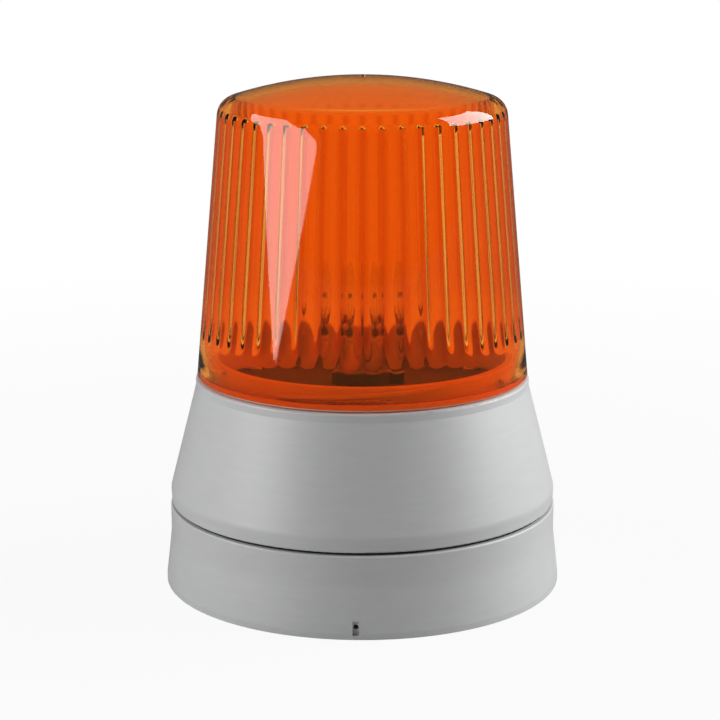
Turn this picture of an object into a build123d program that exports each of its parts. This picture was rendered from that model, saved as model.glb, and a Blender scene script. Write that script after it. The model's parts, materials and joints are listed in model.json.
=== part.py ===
from build123d import *
import math
import os

os.makedirs("parts", exist_ok=True)

# Signal beacon: a round mounting base, a conical housing screwed down on it, and an amber
# lens that screws on to the neck of the housing.  Inside are a bayonet bulb, its holder on
# a deck plate, a flasher board that hangs under the deck, and the terminals in the base.
# Millimetres.  Z up, origin at the bottom centre of the base.  The front faces -Y.
# A place on the plan is given as a radius and an angle, anticlockwise from +X.

# ---------------------------------------------------------------- overall sizes
base_radius = 63.3               # upright part of the base
base_flare = 1.7                 # foot wider than the upright part
base_height = 26.0
base_foot_height = 2.0           # straight edge at the foot
base_taper_top = 16.5            # where the taper ends
base_wall = 3.0
base_floor = 3.0
base_edge = 0.6                  # rounding round the top of the base
base_blend = 25.0                # rounding where the taper meets the upright part
seam_gap = 0.85                  # open line between base and housing

shoulder_height = 68.0           # top of the housing's cone, under the lens
shoulder_overhang = 0.5          # shoulder outside the foot of the lens
shoulder_lip = 2.8               # upright band at the top of the cone
shoulder_edge = 0.8
housing_inset = 0.15             # housing's foot inside the base's rim
housing_wall = 2.6
skirt_band = 4.4                 # straight band at the foot of the cone
skirt_band_taper = 0.25
skirt_edge = 0.6                 # rounding at the foot of the band
skirt_blend_radius = 5.0         # rounding where the band meets the cone

neck_height = 6.8                # neck above the shoulder, inside the lens
neck_radius = 49.2
neck_wall = 2.6
neck_edge = 0.6

lens_gap = 0.9                   # open line between shoulder and lens
lens_foot_wall = 2.9
lens_draft = 8.0                 # foot radius less the radius where wall and dome would meet
lens_height = 96.0               # foot to crown
lens_shoulder_fillet = 6.5
dome_radius = 141.0              # sphere that the dome is cut from
lens_wall = 2.4
skirt_blend = 3.0                # height of the slope from the skirt to the flutes
crown_thickness = 2.6
flute_count = 48
flute_depth = 0.8
flute_foot = 12.6                # foot of the lens to the foot of the flutes
flute_top_drop = 12.2            # end of the flutes below the crown
gate_radius = 1.2                # moulding mark on the crown
gate_height = 0.4

# ---------------------------------------------------------------- lens thread and seal
thread_starts = 4
thread_lead = 16.0               # rise of the lens in one turn
thread_clearance = 0.5           # crest to the opposite root
thread_engagement = 0.8          # overlap of the crests
rib_thickness = 1.4
rib_height = 1.3                 # crest of a rib proud of the neck
rib_arc = 62.0                   # degrees that each rib of the neck spans
rib_top_margin = 0.1             # end of a rib under the top of the neck
lug_thickness = 1.3
lug_arc = 22.0
lug_angle_in_rib = 30.0          # middle of a lug from the low end of its rib
root_depth = 0.4                 # a rib's root inside its wall
seal_width = 1.1
seal_clearance = 0.2             # seal to the sides of its groove
seal_groove_depth = 1.7
seal_side_wall = 0.75            # lens wall outside the groove
seal_seat_gap = 0.25             # seal to shoulder and to the end of its groove

# ---------------------------------------------------------------- joining of base and housing
spigot_height = 3.0              # housing's locating ring below the base's rim
spigot_wall = 2.2
spigot_clearance = 0.3
seal_ring_inset = 1.2            # base seal behind the face of the housing
seal_ring_width = 1.5
pillar_count = 3
pillar_radius = 4.75
pillar_inset = 5.1               # pillar centre inside the neck
pillar_first_angle = 90.0
pillar_web = 2.0
head_pocket_radius = 4.3
head_pocket_depth = 9.0          # seat of the screw's head below the ledge
housing_screw_radius = 2.0
housing_screw_head = 3.7
housing_screw_head_height = 2.6
housing_screw_bite = 12.0        # length of screw inside the base's boss
screw_play = 0.05                # thread to its bore, each side
clear_play = 0.3                 # screw to a plain clearance hole, each side

# ---------------------------------------------------------------- fixing to the surface
fixing_hole_radius = 2.6
fixing_pad_radius = 6.0
fixing_pad_height = 2.0
fixing_inset = 12.3              # hole centre inside the base's inner wall
gasket_width = 3.0
gasket_depth = 1.5
gasket_inset = 8.0               # outer edge of the gasket inside the foot
entry_hole_radius = 8.0
entry_clearance = 2.6            # cable entry in front of the rear pillar
grommet_bore = 4.0
grommet_flange = 2.2
grommet_lip = 1.5
grommet_nose = 3.0               # soft nose above the lip
grommet_nose_wall = 1.2
grommet_recess = 0.2             # foot of the grommet above the surface
grommet_play = 0.05
weep_width = 2.0
weep_x = -2.0
weep_bottom = 1.3
weep_top = 5.8
weep_depth = 1.2
weep_hole_radius = 0.8

# ---------------------------------------------------------------- deck plate and bulb holder
deck_drop = 5.0                  # ledge below the shoulder
deck_thickness = 2.0
deck_play = 0.3
ledge_width = 3.8
ledge_thickness = 2.5
notch_play = 0.3                 # deck's notch round the head pocket
deck_screw_inset = 4.4           # deck screw inside the neck
deck_screw_boss_radius = 3.6
deck_screw_boss_depth = 9.0
deck_screw_radius = 1.45
deck_screw_head = 2.8
deck_screw_head_height = 1.9
deck_screw_length = 8.0

holder_wall = 1.7                # body outside the metal shell
holder_height = 6.5              # body above the deck
holder_edge = 0.6
holder_stem_radius = 8.0
holder_stem_depth = 7.0          # stem below the deck's top
holder_lug_length = 3.4
holder_lug_width = 6.5
holder_lug_height = 5.2
holder_fit = 0.05
holder_nut_across = 22.0
holder_nut_height = 3.0
socket_depth = 4.5               # metal shell inside the body
shell_height = 14.0
shell_wall = 0.7
bayonet_width = 2.6
bayonet_turn = 35.0
bayonet_angle = 90.0             # where the bulb's pins rest

contact_spacing = 7.2
contact_radius = 1.7
contact_play = 0.1
contact_length = 4.5
contact_proud = 1.4              # contact above the floor of the socket
press_travel = 1.6               # bulb pushed down before it turns
spring_wire = 0.35
spring_turns = 5
tag_thickness = 1.2
tag_width = 2.4
tag_length = 5.0

# ---------------------------------------------------------------- bulb
cap_radius = 7.55
cap_wall = 0.4
cap_height = 12.8
cap_lift = 0.8                   # height of the solder contacts under the cap
cap_play = 0.25                  # cap to the shell, each side
insulator_thickness = 1.6
bulb_contact_radius = 1.5
pin_radius = 1.0
pin_reach = 0.75
pin_height = 5.5                 # pins above the foot of the cap
glass_globe_radius = 11.0
glass_wall = 0.7
glass_neck_play = 0.1
glass_neck_depth = 6.0           # glass inside the cap
globe_height = 24.8              # middle of the globe above the foot of the cap
filament_length = 7.0
filament_coil_radius = 0.7
filament_wire = 0.2
filament_turns = 9
support_radius = 0.3
mount_radius = 2.8
mount_height = 9.0

# ---------------------------------------------------------------- flasher board
board_thickness = 1.6
board_gap = 1.2                  # board inside the pillars
board_drop = 14.0                # board's top below the deck's underside
post_count = 4
post_radius = 3.2
post_bore_roof = 0.8             # deck left above the bore of a post
post_inset = 5.0                 # post inside the edge of the board
post_first_angle = 45.0
board_screw_radius = 1.2
board_screw_head = 2.4
board_screw_head_height = 1.7
board_screw_length = 7.0

relay_size = (19.0, 15.5, 15.0)
relay_place = (-10.0, 4.5)
rectifier_size = (8.5, 6.5, 4.0)
rectifier_place = (8.0, -18.5)
chip_size = (9.8, 6.4, 3.3)
chip_place = (9.0, -6.0)
capacitor_radius = 5.0
capacitor_height = 12.0
capacitor_place = (9.5, 6.0)
resistor_radius = 1.25
resistor_length = 6.5
resistor_wire = 0.35
resistor_lift = 1.9              # middle of a resistor below the board
resistor_places = ((-2.0, -7.5), (-2.0, -11.5), (-2.0, -15.5))
fuse_radius = 2.5
fuse_length = 20.0
fuse_cap_length = 5.0
fuse_cap_wall = 0.3
fuse_play = 0.03                 # tube in its caps, and caps in their clips
fuse_y = 19.0
fuse_drop = 4.2                  # middle of the fuse below the board
clip_width = 5.0
clip_thickness = 0.5
header_size = (11.0, 8.0, 9.0)
header_seat = 3.0                # end of a lead's hole below the board
header_place = (-15.5, -8.5)

# ---------------------------------------------------------------- terminals and leads
terminal_size = (24.0, 16.0, 13.0)
terminal_place = (-6.0, -20.0)
terminal_pad_height = 3.0
terminal_pole_spacing = 9.0
terminal_wire_hole = 1.8
terminal_wire_height = 5.0
clamp_screw_radius = 1.9
clamp_screw_height = 4.0
clamp_well_radius = 2.1
clamp_well_depth = 6.0
terminal_screw_radius = 1.25
terminal_screw_head = 1.9
terminal_screw_head_height = 1.4
terminal_screw_length = 14.0
terminal_screw_pocket = 3.0
terminal_screw_bore = 5.0        # depth of its bore in the boss
lead_radius = 1.1
lead_end_play = 0.2              # bare end of a lead short of its clamp
lead_hold = 4.0                  # end of a lead inside its terminal
lead_straight = 2.5              # straight run out of a terminal
supply_lead_bend = 6.0
lamp_lead_bend = 3.2
lamp_lead_reach = 13.0           # where a lamp lead leaves the board

# ---------------------------------------------------------------- levels and radii that follow
SEAT = (Align.CENTER, Align.CENTER, Align.MIN)
HANG = (Align.CENTER, Align.CENTER, Align.MAX)

base_foot_radius = base_radius + base_flare
base_inner_radius = base_radius - base_wall
housing_foot = base_height + seam_gap
housing_foot_radius = base_radius - housing_inset
neck_top = shoulder_height + neck_height
neck_inner_radius = neck_radius - neck_wall
rib_crest_radius = neck_radius + rib_height
lens_foot = shoulder_height + lens_gap
lens_skirt_radius = rib_crest_radius + thread_clearance
lens_foot_radius = lens_skirt_radius + lens_foot_wall
lens_shoulder_radius = lens_foot_radius - lens_draft
shoulder_radius = lens_foot_radius + shoulder_overhang
lug_crest_radius = rib_crest_radius - thread_engagement
ledge_top = shoulder_height - deck_drop
deck_top = ledge_top + deck_thickness
deck_radius = neck_inner_radius - deck_play
pillar_circle = neck_inner_radius - pillar_inset
pillar_turn = 360.0 / pillar_count
pillar_angles = [pillar_first_angle + pillar_turn * k for k in range(pillar_count)]
grommet_radius = entry_hole_radius - grommet_play + grommet_flange
entry_y = pillar_circle - pillar_radius - grommet_radius - entry_clearance
between_angles = [angle + pillar_turn / 2 for angle in pillar_angles]
head_seat = ledge_top - head_pocket_depth
fixing_circle = base_inner_radius - fixing_inset
board_top = ledge_top - board_drop
board_bottom = board_top - board_thickness
board_radius = pillar_circle - pillar_radius - board_gap
post_circle = board_radius - post_inset
shell_inner_radius = cap_radius + cap_play
shell_outer_radius = shell_inner_radius + shell_wall
holder_radius = shell_outer_radius + holder_wall
holder_top = deck_top + holder_height
holder_foot = deck_top - holder_stem_depth
socket_floor = holder_top - socket_depth
bulb_contact_foot = socket_floor + contact_proud
cap_foot = bulb_contact_foot + cap_lift
plunger_foot = bulb_contact_foot - contact_length
terminal_foot = base_floor + terminal_pad_height


# ---------------------------------------------------------------- small helpers
def place(radius, angle):
    """X and Y of a point at a radius and an angle in degrees."""
    return radius * math.cos(math.radians(angle)), radius * math.sin(math.radians(angle))


def rod(radius, bottom, top, x=0.0, y=0.0):
    """An upright cylinder between two levels."""
    return Pos(x, y, bottom) * Cylinder(radius, top - bottom, align=SEAT)


def tube(outer, inner, bottom, top, x=0.0, y=0.0):
    """An upright tube between two levels."""
    return rod(outer, bottom, top, x, y) - rod(inner, bottom, top, x, y)


def block(size, bottom, x=0.0, y=0.0):
    """A box that stands on a level."""
    return Pos(x, y, bottom) * Box(*size, align=SEAT)


def turned(*outline, rounded=()):
    """A closed outline of radius and height, turned about the axis of the beacon.

    Each entry of rounded is a corner of the outline and its rounding.
    """
    face = make_face(Polyline(*outline, close=True))
    for corner, radius in rounded:
        face = fillet(face.vertices().sort_by_distance((*corner, 0))[0], radius)
    return revolve(Plane.XZ * face, Axis.Z)


def joined(solids):
    """One solid from pieces that run into each other."""
    first, *rest = solids
    for solid in rest:
        first = first + solid
    return first


def save(node, *solids):
    """Write the solids of one node."""
    export_step(Compound(children=list(solids)), f"parts/{node}.step")


def pan_screw(radius, head_radius, head_height, length, seat, x, y):
    """A cross-headed screw that points down, with the underside of its head at seat."""
    head = rod(head_radius, seat, seat + head_height, x, y)
    head = fillet(head.edges().group_by(Axis.Z)[-1], head_height * 0.45)
    slot = head_radius * 1.1
    depth = head_height * 0.5
    for size in ((slot, slot * 0.25, depth), (slot * 0.25, slot, depth)):
        head = head - Pos(x, y, seat + head_height) * Box(*size, align=HANG)
    shank = rod(radius, seat - length, seat, x, y)
    return head + chamfer(shank.edges().group_by(Axis.Z)[0], radius * 0.4)


def helical_rib(root_radius, crest_radius, thickness, arc, middle_height, middle_angle):
    """One start of the thread, with the middle of its length at a height and an angle."""
    rise = thread_lead * arc / 360.0
    path = Helix(thread_lead, rise, (root_radius + crest_radius) / 2)
    half_root, half_crest = thickness / 2, thickness * 0.32
    section = Plane.XZ * Polyline(
        (root_radius, -half_root),
        (crest_radius, -half_crest),
        (crest_radius, half_crest),
        (root_radius, half_root),
        close=True,
    )
    rib = sweep(make_face(section), path=path, is_frenet=True)
    return Pos(0, 0, middle_height - rise / 2) * Rot(0, 0, middle_angle - arc / 2) * rib


def lead(points, bend, radius=lead_radius):
    """An insulated lead along straight runs joined by arcs."""
    route = FilletPolyline(*points, radius=bend)
    section = Plane(origin=route @ 0, z_dir=route % 0) * Circle(radius)
    return sweep(section, path=route)


# ---------------------------------------------------------------- mounting base
def make_base():
    """Round foot with bosses for the housing screws and holes for the fixings."""
    body = turned(
        (0, 0),
        (base_foot_radius, 0),
        (base_foot_radius, base_foot_height),
        (base_radius, base_taper_top),
        (base_radius, base_height),
        (base_inner_radius, base_height),
        (base_inner_radius, base_floor),
        (0, base_floor),
        rounded=(
            ((base_radius, base_taper_top), base_blend),
            ((base_radius, base_height), base_edge),
        ),
    )
    for angle in pillar_angles:
        body = body + rod(pillar_radius, 0, base_height, *place(pillar_circle, angle))
    for angle in between_angles:
        pad_top = base_floor + fixing_pad_height
        body = body + rod(fixing_pad_radius, 0, pad_top, *place(fixing_circle, angle))
    body = body + terminal_pads()
    for angle in pillar_angles:
        bore = housing_screw_radius + screw_play
        body = body - rod(bore, base_floor, base_height, *place(pillar_circle, angle))
    for angle in between_angles:
        top = base_floor + fixing_pad_height
        body = body - rod(fixing_hole_radius, 0, top, *place(fixing_circle, angle))
    body = body - rod(entry_hole_radius, 0, base_floor, 0, entry_y)
    outer = base_foot_radius - gasket_inset
    body = body - tube(outer, outer - gasket_width, 0, gasket_depth)
    body = body - weep_slot()
    bore_foot = terminal_foot - terminal_screw_bore
    return body - rod(
        terminal_screw_radius + screw_play, bore_foot, terminal_foot, *terminal_place
    )


def terminal_pads():
    """Two pads that the terminal block stands on, and the boss for its screw."""
    width, depth, _ = terminal_size
    x, y = terminal_place
    pad = (width * 0.2, depth, terminal_foot)
    boss = rod(terminal_screw_radius * 2.4, 0, terminal_foot, x, y)
    return joined([block(pad, 0, x + side * width * 0.38, y) for side in (-1, 1)] + [boss])


def weep_slot():
    """Drain mark on the front of the foot, with a small hole at the level of the floor."""
    height = weep_top - weep_bottom
    mark = Pos(weep_x, -base_foot_radius, weep_bottom) * Box(
        weep_width, 2 * weep_depth, height, align=SEAT
    )
    hole_height = base_floor + weep_hole_radius
    hole = Pos(weep_x, -base_inner_radius, hole_height) * Rot(90, 0, 0) * Cylinder(
        weep_hole_radius, 4 * base_wall
    )
    return mark + hole


# ---------------------------------------------------------------- housing
def make_housing():
    """Conical cover with its neck, ledge, screw pillars and locating ring."""
    band_top = housing_foot + skirt_band
    inner_foot = housing_foot_radius - housing_wall
    inner_shoulder = shoulder_radius - housing_wall
    spigot_outer = base_inner_radius - spigot_clearance
    spigot_inner = spigot_outer - spigot_wall
    ledge_inner = neck_inner_radius - ledge_width
    ledge_foot = ledge_top - ledge_thickness
    foot_corner = (housing_foot_radius - skirt_band_taper, housing_foot)
    shoulder_corner = (shoulder_radius, shoulder_height)
    body = turned(
        foot_corner,
        (housing_foot_radius, band_top),
        (shoulder_radius, shoulder_height - shoulder_lip),
        shoulder_corner,
        (neck_radius, shoulder_height),
        (neck_radius, neck_top),
        (neck_inner_radius, neck_top),
        (neck_inner_radius, ledge_top),
        (ledge_inner, ledge_top),
        (ledge_inner, ledge_foot),
        (neck_radius, ledge_foot),
        (neck_radius, shoulder_height - housing_wall),
        (inner_shoulder, shoulder_height - housing_wall),
        (inner_foot, band_top),
        (spigot_inner, band_top),
        (spigot_inner, base_height - spigot_height),
        (spigot_outer, base_height - spigot_height),
        (spigot_outer, housing_foot),
        rounded=(
            (foot_corner, skirt_edge),
            ((housing_foot_radius, band_top), skirt_blend_radius),
            (shoulder_corner, shoulder_edge),
            ((neck_radius, neck_top), neck_edge),
        ),
    )
    for angle in pillar_angles:
        body = body + make_pillar(angle, inner_foot)
    for angle in between_angles:
        x, y = place(neck_inner_radius - deck_screw_inset, angle)
        body = body + rod(deck_screw_boss_radius, ledge_top - deck_screw_boss_depth, ledge_top, x, y)
    for angle in pillar_angles:
        x, y = place(pillar_circle, angle)
        body = body - rod(head_pocket_radius, head_seat, ledge_top, x, y)
        body = body - rod(housing_screw_radius + clear_play, base_height, head_seat, x, y)
    for angle in between_angles:
        x, y = place(neck_inner_radius - deck_screw_inset, angle)
        bottom = ledge_top - deck_screw_boss_depth
        body = body - rod(deck_screw_radius + screw_play, bottom, ledge_top, x, y)
    for angle in rib_angles():
        body = body + helical_rib(
            neck_radius - root_depth, rib_crest_radius, rib_thickness, rib_arc,
            rib_middle_height(), angle,
        )
    return body


def make_pillar(angle, wall_radius):
    """A screw pillar from the base's boss to the ledge, with a web to the wall."""
    pillar = rod(pillar_radius, base_height, ledge_top, *place(pillar_circle, angle))
    web_top = ledge_top - ledge_thickness
    web_foot = housing_foot + skirt_band
    slope = (wall_radius - shoulder_radius + housing_wall) / (shoulder_height - web_foot)
    reach_at_top = wall_radius - slope * (web_top - web_foot)
    outline = Plane.XZ * Polyline(
        (pillar_circle, web_foot),
        (wall_radius + 0.5, web_foot),
        (reach_at_top + 0.5, web_top),
        (pillar_circle, web_top),
        close=True,
    )
    web = extrude(make_face(outline), amount=pillar_web / 2, both=True)
    return pillar + Rot(0, 0, angle) * web


def rib_angles():
    """Middle of each rib on the neck."""
    return [360.0 / thread_starts * k for k in range(thread_starts)]


def rib_middle_height():
    """Level of the middle of a rib, so that its high end stays under the neck's top."""
    half_rise = thread_lead * rib_arc / 720.0
    return neck_top - rib_top_margin - rib_thickness / 2 - half_rise


def lug_middle():
    """Height and angle, from the middle of a rib, of the lens lug that sits under it."""
    angle = lug_angle_in_rib - rib_arc / 2
    pitch = thread_lead / thread_starts
    height = rib_middle_height() + thread_lead * angle / 360.0 - pitch / 2
    return height, angle


# ---------------------------------------------------------------- lens
def dome_drop(radius, sphere):
    """How far a dome lies under its crown at a radius."""
    return sphere - math.sqrt(sphere ** 2 - radius ** 2)


def lens_radius(height):
    """Outer radius of the lens at a height above its foot."""
    corner = lens_height - dome_drop(lens_shoulder_radius, dome_radius)
    slope = (lens_foot_radius - lens_shoulder_radius) / corner
    return lens_foot_radius - slope * height


def fluted_outline(radius, level):
    """A ring of arcs that bulge towards the axis and meet in outward cusps."""
    crest = radius * math.cos(math.pi / flute_count) - flute_depth
    turn = 360.0 / flute_count
    arcs = []
    for k in range(flute_count):
        first = (*place(radius, turn * k), level)
        middle = (*place(crest, turn * (k + 0.5)), level)
        last = (*place(radius, turn * (k + 1)), level)
        arcs.append(ThreePointArc(first, middle, last))
    return Face(Wire(arcs))


def domed_body(foot_radius, foot, corner_radius, crown, sphere, corner_fillet):
    """A solid of revolution with a tapered side, a rounded shoulder and a domed top."""
    corner = crown - dome_drop(corner_radius, sphere)
    halfway = corner_radius / 2
    side = Polyline((0, foot), (foot_radius, foot), (corner_radius, corner))
    dome = ThreePointArc(
        (corner_radius, corner), (halfway, crown - dome_drop(halfway, sphere)), (0, crown)
    )
    face = make_face([side, dome, Line((0, crown), (0, foot))])
    shoulder = [v for v in face.vertices() if abs(v.X - corner_radius) < 0.001 and v.Y > foot + 1]
    return revolve(Plane.XZ * fillet(shoulder, corner_fillet), Axis.Z)


def make_lens():
    """Amber cover: tapered wall fluted inside, domed top, and lugs in its plain foot."""
    crown = lens_foot + lens_height
    body = domed_body(
        lens_foot_radius, lens_foot, lens_shoulder_radius, crown, dome_radius,
        lens_shoulder_fillet,
    )
    flute_bottom = lens_foot + flute_foot
    flute_top = crown - flute_top_drop
    smooth_radius = lens_radius(flute_foot) - lens_wall
    cusp_top = lens_radius(lens_height - flute_top_drop) - lens_wall
    crest_top = cusp_top * math.cos(math.pi / flute_count) - flute_depth
    body = body - turned(
        (0, lens_foot),
        (lens_skirt_radius, lens_foot),
        (lens_skirt_radius, flute_bottom - skirt_blend),
        (smooth_radius, flute_bottom),
        (0, flute_bottom),
    )
    body = body - loft(
        [fluted_outline(smooth_radius, flute_bottom), fluted_outline(cusp_top, flute_top)],
        ruled=True,
    )
    body = body - domed_body(
        crest_top, flute_top - 2.0, crest_top, crown - crown_thickness,
        dome_radius - crown_thickness, lens_shoulder_fillet - lens_wall,
    )
    groove_outer = lens_foot_radius - seal_side_wall
    groove_inner = groove_outer - seal_width - 2 * seal_clearance
    body = body - tube(groove_outer, groove_inner, lens_foot, lens_foot + seal_groove_depth)
    height, angle = lug_middle()
    for rib_angle in rib_angles():
        body = body + helical_rib(
            lens_skirt_radius + root_depth, lug_crest_radius, lug_thickness, lug_arc,
            height, rib_angle + angle,
        )
    return body + rod(gate_radius, crown - crown_thickness / 2, crown + gate_height)


def make_lens_seal():
    """Soft ring in the groove of the lens, against the shoulder of the housing."""
    outer = lens_foot_radius - seal_side_wall - seal_clearance
    top = lens_foot + seal_groove_depth - seal_seat_gap
    ring = tube(outer, outer - seal_width, shoulder_height + seal_seat_gap, top)
    return fillet(ring.edges().group_by(Axis.Z)[0], seal_width * 0.3)


# ---------------------------------------------------------------- deck plate
def make_deck():
    """Plate that carries the bulb holder, with posts under it for the flasher board."""
    plate = rod(deck_radius, ledge_top, deck_top)
    for k in range(post_count):
        x, y = place(post_circle, post_first_angle + 360.0 / post_count * k)
        plate = plate + rod(post_radius, board_top, ledge_top, x, y)
        plate = plate - rod(board_screw_radius + screw_play, board_top, deck_top - post_bore_roof, x, y)
    plate = plate - rod(holder_stem_radius + clear_play, ledge_top, deck_top)
    notch = head_pocket_radius + notch_play
    for angle in pillar_angles:
        plate = plate - rod(notch, ledge_top, deck_top, *place(pillar_circle, angle))
        opening = Pos(pillar_circle + notch, 0, ledge_top) * Box(
            2 * notch, 2 * notch, deck_thickness, align=SEAT
        )
        plate = plate - Rot(0, 0, angle) * opening
    for angle in between_angles:
        x, y = place(neck_inner_radius - deck_screw_inset, angle)
        plate = plate - rod(deck_screw_radius + clear_play, ledge_top, deck_top, x, y)
    return plate


# ---------------------------------------------------------------- bulb holder
def contact_places():
    """The two contacts, side by side across the holder."""
    return [(-contact_spacing / 2, 0.0), (contact_spacing / 2, 0.0)]


def make_holder_body():
    """Black moulding with a side lug, a socket for the shell and bores for the contacts."""
    head = rod(holder_radius, deck_top, holder_top)
    head = chamfer(head.edges().group_by(Axis.Z)[-1], holder_edge)
    lug = Pos(0, 0, deck_top) * Box(
        holder_radius + holder_lug_length, holder_lug_width, holder_lug_height,
        align=(Align.MIN, Align.CENTER, Align.MIN),
    )
    body = head + lug + rod(holder_stem_radius, holder_foot, deck_top)
    body = body - rod(shell_outer_radius + holder_fit, socket_floor, holder_top)
    for x, y in contact_places():
        body = body - rod(contact_radius + contact_play, holder_foot, socket_floor, x, y)
    return body


def make_holder_shell():
    """Metal sleeve with two bayonet slots: down, across and up to the rest of the pin."""
    top = socket_floor + shell_height
    shell = tube(shell_outer_radius, shell_inner_radius, socket_floor, top)
    rest = cap_foot + pin_height
    pressed = rest - press_travel
    reach = shell_outer_radius + 1.0
    for side in (0.0, 180.0):
        seat = Pos(0, 0, pressed) * Box(
            reach, bayonet_width, press_travel, align=(Align.MIN, Align.CENTER, Align.MIN)
        )
        seat = seat + Pos(0, 0, rest) * Rot(0, 90, 0) * Cylinder(bayonet_width / 2, reach, align=SEAT)
        way_in = Pos(0, 0, pressed) * Box(
            reach, bayonet_width, top - pressed, align=(Align.MIN, Align.CENTER, Align.MIN)
        )
        sector = revolve(
            make_face(
                Plane.XZ * Pos(reach / 2 + 2.5, pressed) * Rectangle(reach - 5.0, bayonet_width)
            ),
            Axis.Z,
            bayonet_turn,
        )
        slot = seat + Rot(0, 0, bayonet_turn) * way_in + sector
        slot = slot + Pos(0, 0, pressed) * Rot(0, 90, 0) * Cylinder(
            bayonet_width / 2, reach, align=SEAT
        )
        shell = shell - Rot(0, 0, bayonet_angle + side) * slot
    return shell


def make_holder_nut():
    """Six-sided nut that pulls the holder down on the deck."""
    nut = extrude(RegularPolygon(holder_nut_across / 2, 6, major_radius=False), holder_nut_height)
    nut = Pos(0, 0, ledge_top - holder_nut_height) * nut
    return nut - rod(holder_stem_radius + holder_fit, ledge_top - holder_nut_height, ledge_top)


def make_contact(x, y):
    """Sprung contact pin with a rounded tip."""
    pin = rod(contact_radius, plunger_foot, bulb_contact_foot, x, y)
    return fillet(pin.edges().group_by(Axis.Z)[-1], contact_radius * 0.5)


def make_contact_spring(x, y):
    """Coil spring between a contact pin and its tag."""
    foot = holder_foot + tag_thickness + spring_wire / 2
    rise = plunger_foot - spring_wire / 2 - foot
    coil_radius = contact_radius - spring_wire / 2 - contact_play
    path = Helix(rise / spring_turns, rise, coil_radius)
    section = Plane(origin=path @ 0, z_dir=path % 0) * Circle(spring_wire / 2)
    return Pos(x, y, foot) * sweep(section, path=path, is_frenet=True)


def make_contact_tag(x, y):
    """Solder tag that closes the foot of a contact's bore."""
    plug = rod(contact_radius, holder_foot, holder_foot + tag_thickness, x, y)
    blade = (tag_width * 0.3, tag_width, tag_length)
    return plug + Pos(x, y, holder_foot) * Box(*blade, align=HANG)


# ---------------------------------------------------------------- bulb
def make_bulb_cap():
    """Thin metal cap with its two bayonet pins."""
    cap = rod(cap_radius, cap_foot, cap_foot + cap_height)
    cap = cap - rod(cap_radius - cap_wall, cap_foot, cap_foot + cap_height)
    for side in (0.0, 180.0):
        pin = Rot(0, 90, 0) * Cylinder(pin_radius, pin_reach + cap_wall / 2, align=SEAT)
        pin = Pos(cap_radius - cap_wall / 2, 0, cap_foot + pin_height) * pin
        cap = cap + Rot(0, 0, bayonet_angle + side) * pin
    return cap


def make_bulb_insulator():
    """Black glass disc that closes the foot of the cap."""
    disc = rod(cap_radius - cap_wall - 0.02, cap_foot, cap_foot + insulator_thickness)
    return disc


def make_bulb_contact(x, y):
    """Solder contact under the insulator."""
    drop = rod(bulb_contact_radius, bulb_contact_foot, cap_foot, x, y)
    return fillet(drop.edges().group_by(Axis.Z)[0], cap_lift * 0.4)


def make_bulb_glass():
    """Round glass bulb, hollow, with a straight neck that stands in the cap."""
    middle = cap_foot + globe_height
    foot = cap_foot + cap_height - glass_neck_depth
    neck = cap_radius - cap_wall - glass_neck_play
    solids = []
    for shrink in (0.0, glass_wall):
        globe = Pos(0, 0, middle) * Sphere(glass_globe_radius - shrink)
        solids.append(globe + rod(neck - shrink, foot, middle))
    return solids[0] - solids[1]


def make_bulb_mount():
    """Glass foot inside the bulb that carries the filament's wires."""
    foot = cap_foot + cap_height - glass_neck_depth
    cone = Cone(mount_radius, mount_radius * 0.55, mount_height, align=SEAT)
    flare_radius = cap_radius - cap_wall - glass_neck_play - glass_wall - 0.02
    return Pos(0, 0, foot) * (cone + Cylinder(flare_radius, 1.0, align=SEAT))


def make_filament_support(side):
    """Stiff wire from the mount, bent out and up to one end of the filament."""
    foot = cap_foot + cap_height - glass_neck_depth + mount_height
    top = cap_foot + globe_height - filament_coil_radius - filament_wire
    inner = side * mount_radius * 0.3
    outer = side * filament_length / 2
    knee = (top - foot) * 0.45
    route = FilletPolyline(
        (inner, 0, foot),
        (inner, 0, foot + knee * 0.4),
        (outer, 0, foot + knee * 1.6),
        (outer, 0, top),
        radius=1.2,
    )
    return sweep(Plane(origin=route @ 0, z_dir=route % 0) * Circle(support_radius), path=route)


def make_filament():
    """Coiled wire across the middle of the globe."""
    path = Helix(filament_length / filament_turns, filament_length, filament_coil_radius)
    section = Plane(origin=path @ 0, z_dir=path % 0) * Circle(filament_wire)
    coil = sweep(section, path=path, is_frenet=True)
    return Pos(-filament_length / 2, 0, cap_foot + globe_height) * Rot(0, 90, 0) * coil


# ---------------------------------------------------------------- flasher board
def post_places():
    """Where the posts of the deck meet the board."""
    turn = 360.0 / post_count
    return [place(post_circle, post_first_angle + turn * k) for k in range(post_count)]


def make_board():
    """Round circuit board with a hole for each post."""
    board = rod(board_radius, board_bottom, board_top)
    for x, y in post_places():
        board = board - rod(board_screw_radius + clear_play, board_bottom, board_top, x, y)
    return board


def make_board_screw(x, y):
    """Screw that goes up through the board into a post."""
    screw = pan_screw(
        board_screw_radius, board_screw_head, board_screw_head_height, board_screw_length, 0, 0, 0
    )
    return Pos(x, y, board_bottom) * Rot(180, 0, 0) * screw


def under_board(size, x, y, edge):
    """A component body that hangs from the board, with its free edges rounded."""
    body = Pos(x, y, board_bottom) * Box(*size, align=HANG)
    return fillet(body.edges().group_by(Axis.Z)[0], edge)


def make_capacitor():
    """Upright can with a rolled rim at its free end."""
    can = Pos(*capacitor_place, board_bottom) * Cylinder(
        capacitor_radius, capacitor_height, align=HANG
    )
    return fillet(can.edges().group_by(Axis.Z)[0], 0.8)


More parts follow.
